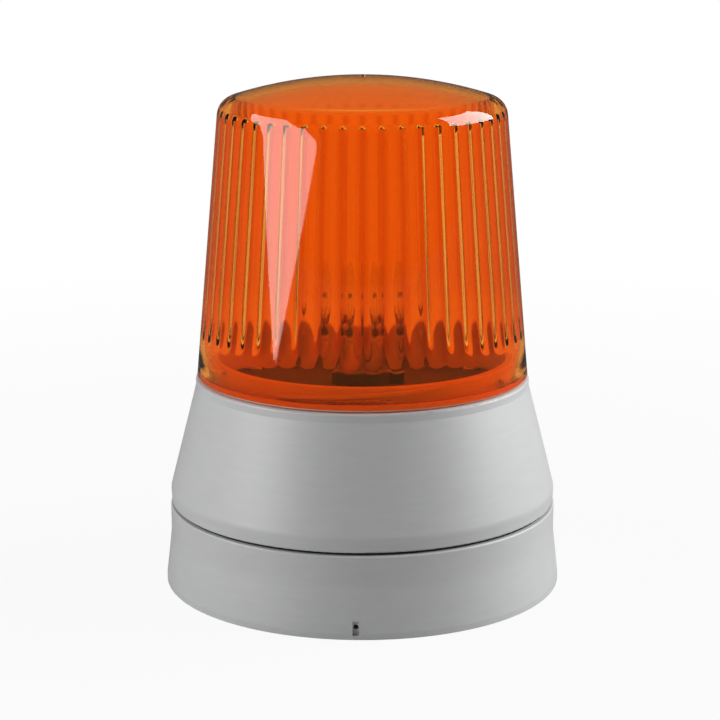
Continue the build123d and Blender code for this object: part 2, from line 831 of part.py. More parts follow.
def make_resistor(x, y):
    """Small body with a lead at each end bent up to the board."""
    body = Rot(0, 90, 0) * Cylinder(resistor_radius, resistor_length)
    body = Pos(x, y, board_bottom - resistor_lift) * fillet(body.edges(), resistor_radius * 0.4)
    reach = resistor_length / 2 + 1.6
    for side in (-1, 1):
        level = board_bottom - resistor_lift
        route = FilletPolyline(
            (x + side * (resistor_length / 2 - 0.3), y, level),
            (x + side * reach, y, level),
            (x + side * reach, y, board_bottom),
            radius=1.0,
        )
        section = Plane(origin=route @ 0, z_dir=route % 0) * Circle(resistor_wire)
        body = body + sweep(section, path=route)
    return body


def make_fuse_tube():
    """Glass tube of the fuse."""
    outer = fuse_radius - fuse_cap_wall - fuse_play
    tube_body = Cylinder(outer, fuse_length - 2 * fuse_cap_wall)
    bore = Cylinder(fuse_radius - 4 * fuse_cap_wall, fuse_length)
    return Pos(0, fuse_y, board_bottom - fuse_drop) * Rot(0, 90, 0) * (tube_body - bore)


def make_fuse_cap(side):
    """Metal cap on one end of the fuse."""
    cap = Cylinder(fuse_radius, fuse_cap_length, align=SEAT)
    cup = Pos(0, 0, -fuse_cap_wall) * Cylinder(
        fuse_radius - fuse_cap_wall, fuse_cap_length, align=SEAT
    )
    start = fuse_length / 2 - fuse_cap_length
    cap = Pos(0, 0, start) * (cap - cup)
    return Pos(0, fuse_y, board_bottom - fuse_drop) * Rot(0, 90 * side, 0) * cap


def make_fuse_clip(side):
    """Spring clip that holds one cap of the fuse under the board."""
    inner = fuse_radius + fuse_play
    outer = inner + clip_thickness
    ring = Cylinder(outer, clip_width) - Cylinder(inner, clip_width)
    mouth = Pos(outer, 0, 0) * Box(2 * outer, 1.3 * inner, clip_width)
    ring = Rot(0, 90, 0) * (ring - mouth)
    foot = Pos(0, 0, fuse_drop) * Box(clip_width, 1.6 * inner, fuse_drop - inner, align=HANG)
    x = side * (fuse_length / 2 - fuse_cap_length / 2)
    return Pos(x, fuse_y, board_bottom - fuse_drop) * (ring + foot)


def make_header():
    """Two-way terminal header under the board, open downwards for the supply leads."""
    body = under_board(header_size, *header_place, 0.5)
    foot = board_bottom - header_size[2]
    for x, y in header_entries():
        body = body - rod(lead_radius + lead_end_play, foot, board_bottom - header_seat, x, y)
    return body


def header_entries():
    """Where the supply leads go up into the header."""
    x, y = header_place
    return [(x + side * header_size[0] / 4, y) for side in (-1, 1)]


# ---------------------------------------------------------------- terminals and leads
def pole_places():
    """The two poles of the terminal block."""
    x, y = terminal_place
    return [(x + side * terminal_pole_spacing / 2 * 1.6, y) for side in (-1, 1)]


def make_terminal_block():
    """Two-pole block with wells for the clamp screws and holes for the wires."""
    width, depth, height = terminal_size
    x, y = terminal_place
    top = terminal_foot + height
    body = block(terminal_size, terminal_foot, x, y)
    body = fillet(body.edges().group_by(Axis.Z)[-1], 0.8)
    body = body - rod(terminal_screw_radius + clear_play, terminal_foot, top, x, y)
    body = body - rod(terminal_screw_head + clear_play, top - terminal_screw_pocket, top, x, y)
    for pole_x, pole_y in pole_places():
        for side in (-1, 1):
            well_y = pole_y + side * depth * 0.27
            body = body - rod(clamp_well_radius, top - clamp_well_depth, top, pole_x, well_y)
        hole = Rot(90, 0, 0) * Cylinder(terminal_wire_hole, depth)
        body = body - Pos(pole_x, pole_y, terminal_foot + terminal_wire_height) * hole
    return body


def make_clamp_screws():
    """Slotted clamp screws, two for each pole."""
    depth = terminal_size[1]
    seat = terminal_foot + terminal_size[2] - clamp_well_depth
    screws = []
    for pole_x, pole_y in pole_places():
        for side in (-1, 1):
            y = pole_y + side * depth * 0.27
            screw = rod(clamp_screw_radius, seat, seat + clamp_screw_height, pole_x, y)
            slot = Pos(pole_x, y, seat + clamp_screw_height) * Box(
                2 * clamp_screw_radius, 0.7, 1.0, align=HANG
            )
            screws.append(screw - slot)
    return screws


def supply_lead(index):
    """Lead from a pole of the terminal block up to the header."""
    pole_x, pole_y = pole_places()[index]
    entry_x, entry_y = header_entries()[index]
    level = terminal_foot + terminal_wire_height
    back = pole_y + terminal_size[1] / 2
    climb = board_bottom - header_size[2] - level
    bend = min(supply_lead_bend, 0.3 * climb)
    turn_y = back + bend + lead_straight
    points = [
        (pole_x, back - lead_hold, level),
        (pole_x, turn_y, level),
        (pole_x, turn_y, level + 0.38 * climb),
        (entry_x, entry_y, level + 0.75 * climb),
        (entry_x, entry_y, board_bottom - header_seat - lead_end_play),
    ]
    return lead(points, [bend, bend, bend])


def lamp_lead(side):
    """Lead from the top of the board to a tag of the bulb holder."""
    tag_x = side * contact_spacing / 2
    tag_side = tag_x + side * (tag_width * 0.15 + lead_radius)
    reach = side * lamp_lead_reach
    top = holder_foot - 1.5 - lead_radius
    points = [
        (reach, 0, board_top),
        (reach, 0, top),
        (tag_side - side * lead_radius, 0, top),
    ]
    return lead(points, lamp_lead_bend)


# ---------------------------------------------------------------- gaskets, grommet, fasteners
def make_base_gasket():
    """Soft ring in the groove under the base, level with the foot."""
    outer = base_foot_radius - gasket_inset
    return tube(outer, outer - gasket_width, 0, gasket_depth)


def make_housing_seal():
    """Dark ring in the open line between base and housing."""
    outer = housing_foot_radius - skirt_band_taper - seal_ring_inset
    return tube(outer, outer - seal_ring_width, base_height, housing_foot)


def make_grommet():
    """Cable grommet with a lip on each side of the floor and an open bore."""
    waist = entry_hole_radius - grommet_play
    body = turned(
        (grommet_bore, grommet_recess),
        (waist, grommet_recess),
        (waist, base_floor),
        (waist + grommet_flange, base_floor),
        (waist + grommet_flange, base_floor + grommet_lip * 0.6),
        (waist, base_floor + grommet_lip),
        (grommet_bore + grommet_nose_wall, base_floor + grommet_lip + grommet_nose),
        (grommet_bore, base_floor + grommet_lip + grommet_nose),
    )
    return Pos(0, entry_y, 0) * body


def make_housing_screw(angle):
    """Long screw from the seat in a pillar down into the base's boss."""
    return pan_screw(
        housing_screw_radius, housing_screw_head, housing_screw_head_height,
        head_seat - base_height + housing_screw_bite, head_seat, *place(pillar_circle, angle),
    )


def make_deck_screw(angle):
    """Short screw that holds the deck on the ledge."""
    return pan_screw(
        deck_screw_radius, deck_screw_head, deck_screw_head_height, deck_screw_length,
        deck_top, *place(neck_inner_radius - deck_screw_inset, angle),
    )


def make_terminal_screw():
    """Screw that holds the terminal block on its boss."""
    seat = terminal_foot + terminal_size[2] - terminal_screw_pocket
    return pan_screw(
        terminal_screw_radius, terminal_screw_head, terminal_screw_head_height,
        terminal_screw_length, seat, *terminal_place,
    )


# ---------------------------------------------------------------- write every node
save("mounting_base", make_base())
save("base_gasket", make_base_gasket())
save("cable_grommet", make_grommet())
save("terminal_block", make_terminal_block())
save("terminal_clamp_screws", *make_clamp_screws())
save("terminal_fixing_screw", make_terminal_screw())

save("housing", make_housing())
save("housing_seal", make_housing_seal())
save("housing_screws", *[make_housing_screw(angle) for angle in pillar_angles])

save("deck_plate", make_deck())
save("deck_screws", *[make_deck_screw(angle) for angle in between_angles])

save("bulb_holder_body", make_holder_body())
save("bulb_holder_shell", make_holder_shell())
save("bulb_holder_nut", make_holder_nut())
save("contact_pins", *[make_contact(x, y) for x, y in contact_places()])
save("contact_springs", *[make_contact_spring(x, y) for x, y in contact_places()])
save("contact_tags", *[make_contact_tag(x, y) for x, y in contact_places()])

save("bulb_cap", make_bulb_cap())
save("bulb_insulator", make_bulb_insulator())
save("bulb_contacts", *[make_bulb_contact(x, y) for x, y in contact_places()])
save("bulb_glass", make_bulb_glass())
save("bulb_mount", make_bulb_mount())
save("filament_supports", *[make_filament_support(side) for side in (-1, 1)])
save("filament", make_filament())

save("flasher_board", make_board())
save("board_screws", *[make_board_screw(x, y) for x, y in post_places()])
save("relay", under_board(relay_size, *relay_place, 0.8))
save("bridge_rectifier", under_board(rectifier_size, *rectifier_place, 0.4))
save("timing_chip", under_board(chip_size, *chip_place, 0.3))
save("smoothing_capacitor", make_capacitor())
save("board_resistors", *[make_resistor(x, y) for x, y in resistor_places])
save("fuse_tube", make_fuse_tube())
save("fuse_caps", *[make_fuse_cap(side) for side in (-1, 1)])
save("fuse_clips", *[make_fuse_clip(side) for side in (-1, 1)])
save("supply_header", make_header())

save("supply_leads", *[supply_lead(index) for index in range(2)])
save("lamp_leads", *[lamp_lead(side) for side in (-1, 1)])

save("lens", make_lens())
save("lens_seal", make_lens_seal())
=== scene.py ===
"""Looks of a round signal beacon: grey housing, amber fluted lens, bulb and holder inside.

Everything is in metres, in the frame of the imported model: up is +Z, the front is -Y, and
the axis of the beacon is the Z axis.
"""

from __future__ import annotations

import json
import logging
import math
from dataclasses import dataclass, field
from enum import Enum
from functools import cache
from typing import Any, Iterable

import bpy
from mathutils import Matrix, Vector

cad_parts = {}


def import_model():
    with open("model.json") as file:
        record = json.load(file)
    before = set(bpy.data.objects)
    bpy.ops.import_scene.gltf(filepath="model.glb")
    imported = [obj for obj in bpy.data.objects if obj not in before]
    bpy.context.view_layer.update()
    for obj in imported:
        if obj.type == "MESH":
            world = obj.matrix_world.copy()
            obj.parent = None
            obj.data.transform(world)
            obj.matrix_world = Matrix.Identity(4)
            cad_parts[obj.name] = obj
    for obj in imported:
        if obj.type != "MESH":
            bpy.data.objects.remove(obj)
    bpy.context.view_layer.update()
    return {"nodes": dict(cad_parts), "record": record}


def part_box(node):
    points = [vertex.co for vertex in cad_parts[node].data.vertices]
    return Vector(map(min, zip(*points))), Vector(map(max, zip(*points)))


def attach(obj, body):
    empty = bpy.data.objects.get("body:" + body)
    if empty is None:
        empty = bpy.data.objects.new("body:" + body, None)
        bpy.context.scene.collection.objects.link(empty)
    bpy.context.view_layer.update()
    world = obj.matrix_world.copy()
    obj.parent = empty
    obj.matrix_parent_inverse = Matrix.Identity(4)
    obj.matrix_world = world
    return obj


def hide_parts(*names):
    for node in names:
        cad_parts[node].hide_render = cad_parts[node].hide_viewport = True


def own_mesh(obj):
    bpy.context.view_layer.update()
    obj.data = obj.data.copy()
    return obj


LOG = logging.getLogger("beacon")
MM = 0.001
FULL_TURN = 360.0
Colour = tuple[float, float, float, float]
Profile = list[tuple[float, float]]
Rows = tuple[tuple[float, float, float], ...]
Piece = bpy.types.Object
Tree = bpy.types.NodeTree
Socket = bpy.types.NodeSocket
DUST = (0.56, 0.54, 0.5, 1.0)
SOCKETS = {
    int: "NodeSocketInt",
    float: "NodeSocketFloat",
    bpy.types.Object: "NodeSocketObject",
    bpy.types.Material: "NodeSocketMaterial",
}


class Texture(Enum):
    """How a moulded surface feels, with how strongly it mirrors."""

    SATIN = 0.5
    GLOSS = 0.55
    RUBBER = 0.25


# ---- node trees
class Graph:
    """A node tree that is filled in by short calls."""

    def __init__(self, tree: Tree) -> None:
        """Keep the shader or geometry tree to fill in."""
        self.tree = tree

    def put(self, kind: str, sockets: dict[Any, Any] | None = None, **settings: Any) -> Any:
        """Add a node.

        Args:
            kind: type name of the node.
            sockets: what each input is given, by its name or number: a socket or a value.
            settings: properties of the node itself.

        Returns:
            The new node.
        """
        node = self.tree.nodes.new(kind)
        for name, value in settings.items():
            setattr(node, name, value)
        for key, value in (sockets or {}).items():
            if isinstance(value, Socket):
                self.tree.links.new(value, node.inputs[key])
            else:
                node.inputs[key].default_value = value
        return node

    def math(self, operation: str, *values: Any) -> Socket:
        """Add a Math node with its inputs in order, and return its output."""
        node = self.put("ShaderNodeMath", dict(enumerate(values)), operation=operation)
        return node.outputs[0]

    def vector(self, operation: str, *values: Any) -> Any:
        """Add a Vector Math node and return it, for the one of its outputs that counts."""
        return self.put("ShaderNodeVectorMath", dict(enumerate(values)), operation=operation)

    def blend(self, share: Any, first: Any, second: Any) -> Socket:
        """Mix two colours, by the share of the second, and return the result."""
        node = self.put("ShaderNodeMix", {0: share, 6: first, 7: second}, data_type="RGBA")
        return node.outputs[2]

    def join(self, share: Socket, first: Any, second: Any) -> Socket:
        """Mix two shader nodes, by the share of the second, and return the result."""
        shaders = {0: share, 1: first.outputs[0], 2: second.outputs[0]}
        return self.put("ShaderNodeMixShader", shaders).outputs[0]

    def spread(
        self, value: Any, low: float, high: float = 1.0, start: float = 0.0, end: float = 1.0
    ) -> Socket:
        """Stretch a value from start to end over low to high, and return the result."""
        limits = {"From Min": start, "From Max": end, "To Min": low, "To Max": high}
        return self.put("ShaderNodeMapRange", {"Value": value, **limits}).outputs[0]

    def bump(self, height: Any, strength: float, distance: float) -> Socket:
        """Roughen a surface's normal by a height, and return the new normal."""
        sockets = {"Height": height, "Strength": strength, "Distance": distance}
        return self.put("ShaderNodeBump", sockets).outputs[0]

    def looked_at(self, paths: Any) -> Socket:
        """One for what is seen straight or through the lens, and nothing for the rest."""
        return self.math(
            "MAXIMUM", paths.outputs["Is Camera Ray"], paths.outputs["Is Transmission Ray"]
        )


def node_group(
    name: str, kind: str, values: dict[str, Any], outputs: Iterable[str]
) -> tuple[Graph, Any, Any]:
    """Start a node group with a named input for each value.

    Args:
        name: name of the group.
        kind: type of its tree. A geometry tree also takes and gives its geometry.
        values: default of each input.
        outputs: name of each number that it gives.

    Returns:
        The graph, the outputs of its input node, and its output node.
    """
    tree = bpy.data.node_groups.new(name, kind)
    if kind == "GeometryNodeTree":
        for side in ("INPUT", "OUTPUT"):
            tree.interface.new_socket("Geometry", in_out=side, socket_type="NodeSocketGeometry")
    for label, value in values.items():
        socket = SOCKETS[type(value)]
        made = tree.interface.new_socket(label, in_out="INPUT", socket_type=socket)
        if isinstance(value, (int, float)):
            made.default_value = value
    for label in outputs:
        tree.interface.new_socket(label, in_out="OUTPUT", socket_type=SOCKETS[float])
    graph = Graph(tree)
    return graph, graph.put("NodeGroupInput").outputs, graph.put("NodeGroupOutput")


@cache
def grain_group() -> Tree:
    """Fine moulded grain with soft flow marks round the axis, made once.

    Returns:
        A shader group that gives a height and a mask, from 0 to 1.
    """
    graph, given, out = node_group(
        "moulded_grain", "ShaderNodeTree", {"Grain Scale": 1800.0, "Flow Scale": 90.0},
        ("Height", "Flow"),
    )
    place = graph.put("ShaderNodeTexCoord").outputs["Object"]
    grain = graph.put(
        "ShaderNodeTexNoise",
        {"Vector": place, "Scale": given["Grain Scale"], "Detail": 3.0, "Roughness": 0.6},
    )
    stretched = graph.put("ShaderNodeMapping", {"Vector": place, "Scale": (1.0, 1.0, 7.0)})
    flow = graph.put(
        "ShaderNodeTexNoise",
        {
            "Vector": stretched.outputs[0], "Scale": given["Flow Scale"], "Detail": 4.0,
            "Roughness": 0.55, "Distortion": 0.4,
        },
    )
    graph.tree.links.new(grain.outputs[0], out.inputs["Height"])
    graph.tree.links.new(flow.outputs[0], out.inputs["Flow"])
    return graph.tree


@cache
def dust_group() -> Tree:
    """Thin dust, most on what faces up, made once.

    Returns:
        A shader group that gives a mask from 0 to 1.
    """
    graph, given, out = node_group(
        "settled_dust", "ShaderNodeTree", {"Amount": 0.2, "Scale": 120.0}, ("Mask",)
    )
    normal = graph.put("ShaderNodeNewGeometry").outputs["Normal"]
    up = graph.put("ShaderNodeSeparateXYZ", {0: normal}).outputs["Z"]
    place = graph.put("ShaderNodeTexCoord").outputs["Object"]
    patches = graph.put(
        "ShaderNodeTexNoise",
        {"Vector": place, "Scale": given["Scale"], "Detail": 5.0, "Roughness": 0.65},
    )
    lying = graph.math("MAXIMUM", up, 0.12)
    mask = graph.math("MULTIPLY", lying, patches.outputs[0])
    mask = graph.math("MULTIPLY", mask, given["Amount"])
    graph.tree.links.new(mask, out.inputs["Mask"])
    return graph.tree


def new_material(name: str) -> tuple[bpy.types.Material, Graph, Any, Any]:
    """Start a material.

    Args:
        name: name of the material.

    Returns:
        The material, its graph, its Principled node and its output node.
    """
    material = bpy.data.materials.new(name)
    material.use_nodes = True
    material.node_tree.nodes.clear()
    graph = Graph(material.node_tree)
    shader = graph.put("ShaderNodeBsdfPrincipled")
    output = graph.put("ShaderNodeOutputMaterial", {"Surface": shader.outputs[0]})
    return material, graph, shader, output


# ---- finishes
@dataclass(frozen=True)
class Moulding:
    """An opaque moulded plastic or rubber."""

    name: str
    colour: Colour
    deep: Colour
    roughness: float = 0.42
    texture: Texture = Texture.SATIN
    grain_scale: float = 1800.0
    bump: float = 0.06
    dust: float = 0.1

    def material(self) -> bpy.types.Material:
        """Make the material.

        Returns:
            The material.
        """
        material, graph, shader, _ = new_material(self.name)
        grain = graph.put(
            "ShaderNodeGroup", {"Grain Scale": self.grain_scale}, node_tree=grain_group()
        ).outputs
        dust = graph.put("ShaderNodeGroup", {"Amount": self.dust}, node_tree=dust_group()).outputs
        tint = graph.blend(grain["Flow"], self.deep, self.colour)
        rough = graph.spread(grain["Flow"], self.roughness - 0.05, self.roughness + 0.07)
        links = graph.tree.links
        links.new(graph.blend(dust["Mask"], tint, DUST), shader.inputs["Base Color"])
        links.new(rough, shader.inputs["Roughness"])
        normal = graph.bump(grain["Height"], self.bump, 0.2 * MM)
        links.new(normal, shader.inputs["Normal"])
        shader.inputs["Specular IOR Level"].default_value = self.texture.value
        if self.texture is Texture.GLOSS:
            shader.inputs["Coat Weight"].default_value = 0.3
            shader.inputs["Coat Roughness"].default_value = 0.12
        return material


@dataclass(frozen=True)
class Metal:
    """Plated or bare metal, with fine scratches and slight tarnish."""

    name: str
    colour: Colour
    tarnish: Colour
    roughness: float = 0.25

    def material(self) -> bpy.types.Material:
        """Make the material.

        Returns:
            The material.
        """
        material, graph, shader, _ = new_material(self.name)
        scales = {"Grain Scale": 1200.0, "Flow Scale": 400.0}
        grain = graph.put("ShaderNodeGroup", scales, node_tree=grain_group()).outputs
        tint = graph.blend(grain["Flow"], self.tarnish, self.colour)
        rough = graph.spread(grain["Height"], self.roughness - 0.08, self.roughness + 0.12)
        links = graph.tree.links
        links.new(tint, shader.inputs["Base Color"])
        links.new(rough, shader.inputs["Roughness"])
        links.new(graph.bump(grain["Height"], 0.08, 0.1 * MM), shader.inputs["Normal"])
        shader.inputs["Metallic"].default_value = 1.0
        return material


@dataclass(frozen=True)
class Clear:
    """A see-through plastic or glass that lets its own tint of light fall inside.

    It is rougher where the attribute named in rough_where says, and takes on painted_shade_tint
    where the one named in painted_shade_where says: painted shade, a darker tint that stands in
    for the shade of the dark lines between the lens's flutes.
    """

    name: str
    tint: Colour
    deep_tint: Colour
    ior: float = 1.49
    roughness: float = 0.03
    shade: Colour = (1.0, 1.0, 1.0, 1.0)
    rough_where: str = ""
    rough_there: float = 0.0
    painted_shade_where: str = ""
    painted_shade_tint: Colour = (1.0, 1.0, 1.0, 1.0)

    def material(self) -> bpy.types.Material:
        """Make the material.

        Returns:
            The material.
        """
        material, graph, shader, output = new_material(self.name)
        grain = graph.put("ShaderNodeGroup", {"Flow Scale": 60.0}, node_tree=grain_group())
        flow = grain.outputs["Flow"]
        colour = graph.blend(flow, self.deep_tint, self.tint)
        # painted shade: the colour turns darker where the flute-edge attribute says, standing in
        # for the dark lines between flutes
        if self.painted_shade_where:
            cusp_shade = graph.put("ShaderNodeAttribute", attribute_name=self.painted_shade_where)
            colour = graph.blend(cusp_shade.outputs["Fac"], colour, self.painted_shade_tint)
        rough = graph.spread(flow, 0.0, 2 * self.roughness)
        if self.rough_where:
            share = graph.put("ShaderNodeAttribute", attribute_name=self.rough_where)
            rough = graph.math("MULTIPLY_ADD", share.outputs["Fac"], self.rough_there, rough)
        shader.inputs["Transmission Weight"].default_value = 1.0
        shader.inputs["IOR"].default_value = self.ior
        links = graph.tree.links
        links.new(colour, shader.inputs["Base Color"])
        links.new(rough, shader.inputs["Roughness"])
        passing = graph.put("ShaderNodeBsdfTransparent", {"Color": self.shade})
        shadow = graph.put("ShaderNodeLightPath").outputs["Is Shadow Ray"]
        links.new(graph.join(shadow, shader, passing), output.inputs["Surface"])
        return material


def grey(level: float) -> Colour:
    """An even grey of a level from 0 to 1."""
    return (level, level, level, 1.0)


FINISHES: dict[str, Moulding | Metal | Clear] = {
    "housing_grey": Moulding(
        "light_grey_housing", (0.56, 0.565, 0.57, 1.0), (0.5, 0.505, 0.51, 1.0), 0.4,
    ),
    # amber lens: its painted_shade_tint is painted shade for the dark lines between the flutes
    "lens_amber": Clear(
        "amber_lens", (0.95, 0.33, 0.045, 1.0), (0.93, 0.3, 0.04, 1.0),
        shade=(0.66, 0.16, 0.03, 1.0), rough_where="flute", rough_there=0.07,
        painted_shade_where="flute_edge", painted_shade_tint=(0.64, 0.1, 0.016, 1.0),
    ),
    "seal_pale": Moulding(
        "pale_seal", (0.62, 0.58, 0.5, 1.0), (0.54, 0.5, 0.43, 1.0), 0.6, Texture.RUBBER,
        grain_scale=2500.0,
    ),
    "seal_black": Moulding(
        "black_rubber", (0.03, 0.03, 0.032, 1.0), (0.018, 0.018, 0.019, 1.0), 0.7,
        Texture.RUBBER, grain_scale=2500.0, bump=0.12,
    ),
    "deck_black": Moulding(
        "black_deck", (0.028, 0.026, 0.026, 1.0), (0.018, 0.017, 0.017, 1.0), 0.5,
        grain_scale=1400.0, bump=0.15,
    ),
    "holder_black": Moulding(
        "black_phenolic", (0.02, 0.018, 0.018, 1.0), (0.012, 0.011, 0.011, 1.0), 0.3,
        Texture.GLOSS,
    ),
    "nickel": Metal("nickel_plate", (0.72, 0.69, 0.63, 1.0), (0.56, 0.52, 0.46, 1.0), 0.22),
    "brass": Metal("brass", (0.8, 0.58, 0.26, 1.0), (0.6, 0.4, 0.16, 1.0), 0.25),
    "zinc_steel": Metal("zinc_plate", (0.62, 0.64, 0.66, 1.0), (0.46, 0.46, 0.44, 1.0), 0.3),
    "solder": Metal("solder", (0.6, 0.6, 0.6, 1.0), (0.42, 0.42, 0.43, 1.0), 0.4),
    "glass_clear": Clear(
        "bulb_glass", grey(0.97), grey(0.94), ior=1.5, roughness=0.0, shade=grey(0.95)
    ),
    "glass_black": Moulding(
        "fused_black_glass", (0.015, 0.015, 0.02, 1.0), (0.01, 0.01, 0.012, 1.0), 0.15,
        Texture.GLOSS,
    ),
    "tungsten": Metal("tungsten", (0.34, 0.34, 0.36, 1.0), (0.22, 0.22, 0.24, 1.0), 0.35),
    "board_green": Moulding(
        "board_lacquer", (0.03, 0.16, 0.06, 1.0), (0.02, 0.11, 0.04, 1.0), 0.25, Texture.GLOSS,
    ),
    "relay_blue": Moulding(
        "relay_case", (0.03, 0.1, 0.32, 1.0), (0.02, 0.07, 0.24, 1.0), 0.3, Texture.GLOSS,
    ),
    "component_black": Moulding(
        "moulded_epoxy", (0.025, 0.025, 0.026, 1.0), (0.015, 0.015, 0.016, 1.0), 0.55,
    ),
    "sleeve_blue": Moulding(
        "shrink_sleeve", (0.02, 0.035, 0.16, 1.0), (0.015, 0.025, 0.11, 1.0), 0.25,
        Texture.GLOSS,
    ),
    "resistor_buff": Moulding(
        "resistor_lacquer", (0.6, 0.42, 0.22, 1.0), (0.5, 0.34, 0.17, 1.0), 0.35, Texture.GLOSS,
    ),
    "header_green": Moulding(
        "header_case", (0.05, 0.3, 0.1, 1.0), (0.035, 0.22, 0.07, 1.0), 0.35, Texture.GLOSS,
    ),
    "terminal_white": Moulding(
        "terminal_case", (0.7, 0.7, 0.66, 1.0), (0.62, 0.62, 0.58, 1.0), 0.35, Texture.GLOSS,
    ),
    "lead_red": Moulding(
        "red_insulation", (0.42, 0.02, 0.015, 1.0), (0.34, 0.015, 0.01, 1.0), 0.35,
        Texture.GLOSS,
    ),
    "lead_grey": Moulding(
        "grey_insulation", (0.11, 0.11, 0.115, 1.0), (0.08, 0.08, 0.085, 1.0), 0.4,
    ),
}


# ---- meshes
def mesh_object(
    name: str, points: list[Vector], faces: list[tuple[int, ...]], smooth_angle: float = 30.0
) -> Piece:
    """Make an object from points and faces, shaded smooth except at sharp edges.

    Args:
        name: name of the object.
        points: its points, in metres.
        faces: its faces, wound outwards.
        smooth_angle: edges that turn more than this many degrees stay sharp.

    Returns:
        The new object, linked to the scene.
    """
    mesh = bpy.data.meshes.new(name)
    mesh.from_pydata(points, [], faces)
    mesh.update()
    mesh.shade_smooth()
    mesh.set_sharp_from_angle(angle=math.radians(smooth_angle))
    made = bpy.data.objects.new(name, mesh)
    bpy.context.scene.collection.objects.link(made)
    return made


def polar(radius: float, angle: float, height: float) -> Vector:
    """The point at a radius, an angle in radians from +X and a height."""
    return Vector((radius * math.cos(angle), radius * math.sin(angle), height))


def tube_faces(rings: int, sides: int) -> list[tuple[int, ...]]:
    """Faces between closed rings of points.

    Args:
        rings: number of rings, listed so that the faces look outwards.
        sides: points in each ring.

    Returns:
        The faces, ring by ring.
    """
    faces: list[tuple[int, ...]] = []
    for here in range(0, (rings - 1) * sides, sides):
        there = here + sides
        for k in range(sides):
            after = (k + 1) % sides
            faces.append((here + k, there + k, there + after, here + after))
    return faces


def arc(
    centre: tuple[float, float], radius: float, start: float, end: float, steps: int
) -> Profile:
    """Points on an arc in radius and height.

    Args:
        centre: centre of the arc.
        radius: its radius.
        start: first angle, in degrees from outwards towards up.
        end: last angle.
        steps: number of spans.

    Returns:
        The points, both ends among them.
    """
    angles = [math.radians(start + (end - start) * k / steps) for k in range(steps + 1)]
    return [(centre[0] + radius * math.cos(a), centre[1] + radius * math.sin(a)) for a in angles]


def bake_modifiers(piece: Piece) -> None:
    """Turn what the modifiers make into the piece's own plain mesh, and remove them.

    Args:
        piece: the piece.
    """
    graph = bpy.context.evaluated_depsgraph_get()
    made = bpy.data.meshes.new_from_object(piece.evaluated_get(graph), depsgraph=graph)
    piece.modifiers.clear()
    piece.data = made


def run_tree(piece: Piece, tree: Tree, values: dict[str, Any]) -> None:
    """Run a geometry tree on a piece and keep the result as its mesh.

    Args:
        piece: the piece.
        tree: the geometry tree.
        values: value of each named input of the tree.
    """
    modifier = piece.modifiers.new(tree.name, "NODES")
    modifier.node_group = tree
    for item in tree.interface.items_tree:
        if item.item_type == "SOCKET" and item.in_out == "INPUT" and item.name in values:
            modifier[item.identifier] = values[item.name]
    bake_modifiers(piece)


def finish_tree(graph: Graph, geometry: Socket, given: Any, out: Any) -> Tree:
    """End a geometry tree: real meshes with their material.

    Args:
        graph: the tree.
        geometry: socket of the geometry so far.
        given: outputs of its input node, Material among them.
        out: its output node.

    Returns:
        The tree.
    """
    real = graph.put("GeometryNodeRealizeInstances", {0: geometry}).outputs[0]
    dressed = graph.put("GeometryNodeSetMaterial", {0: real, "Material": given["Material"]})
    graph.tree.links.new(dressed.outputs[0], out.inputs[0])
    return graph.tree


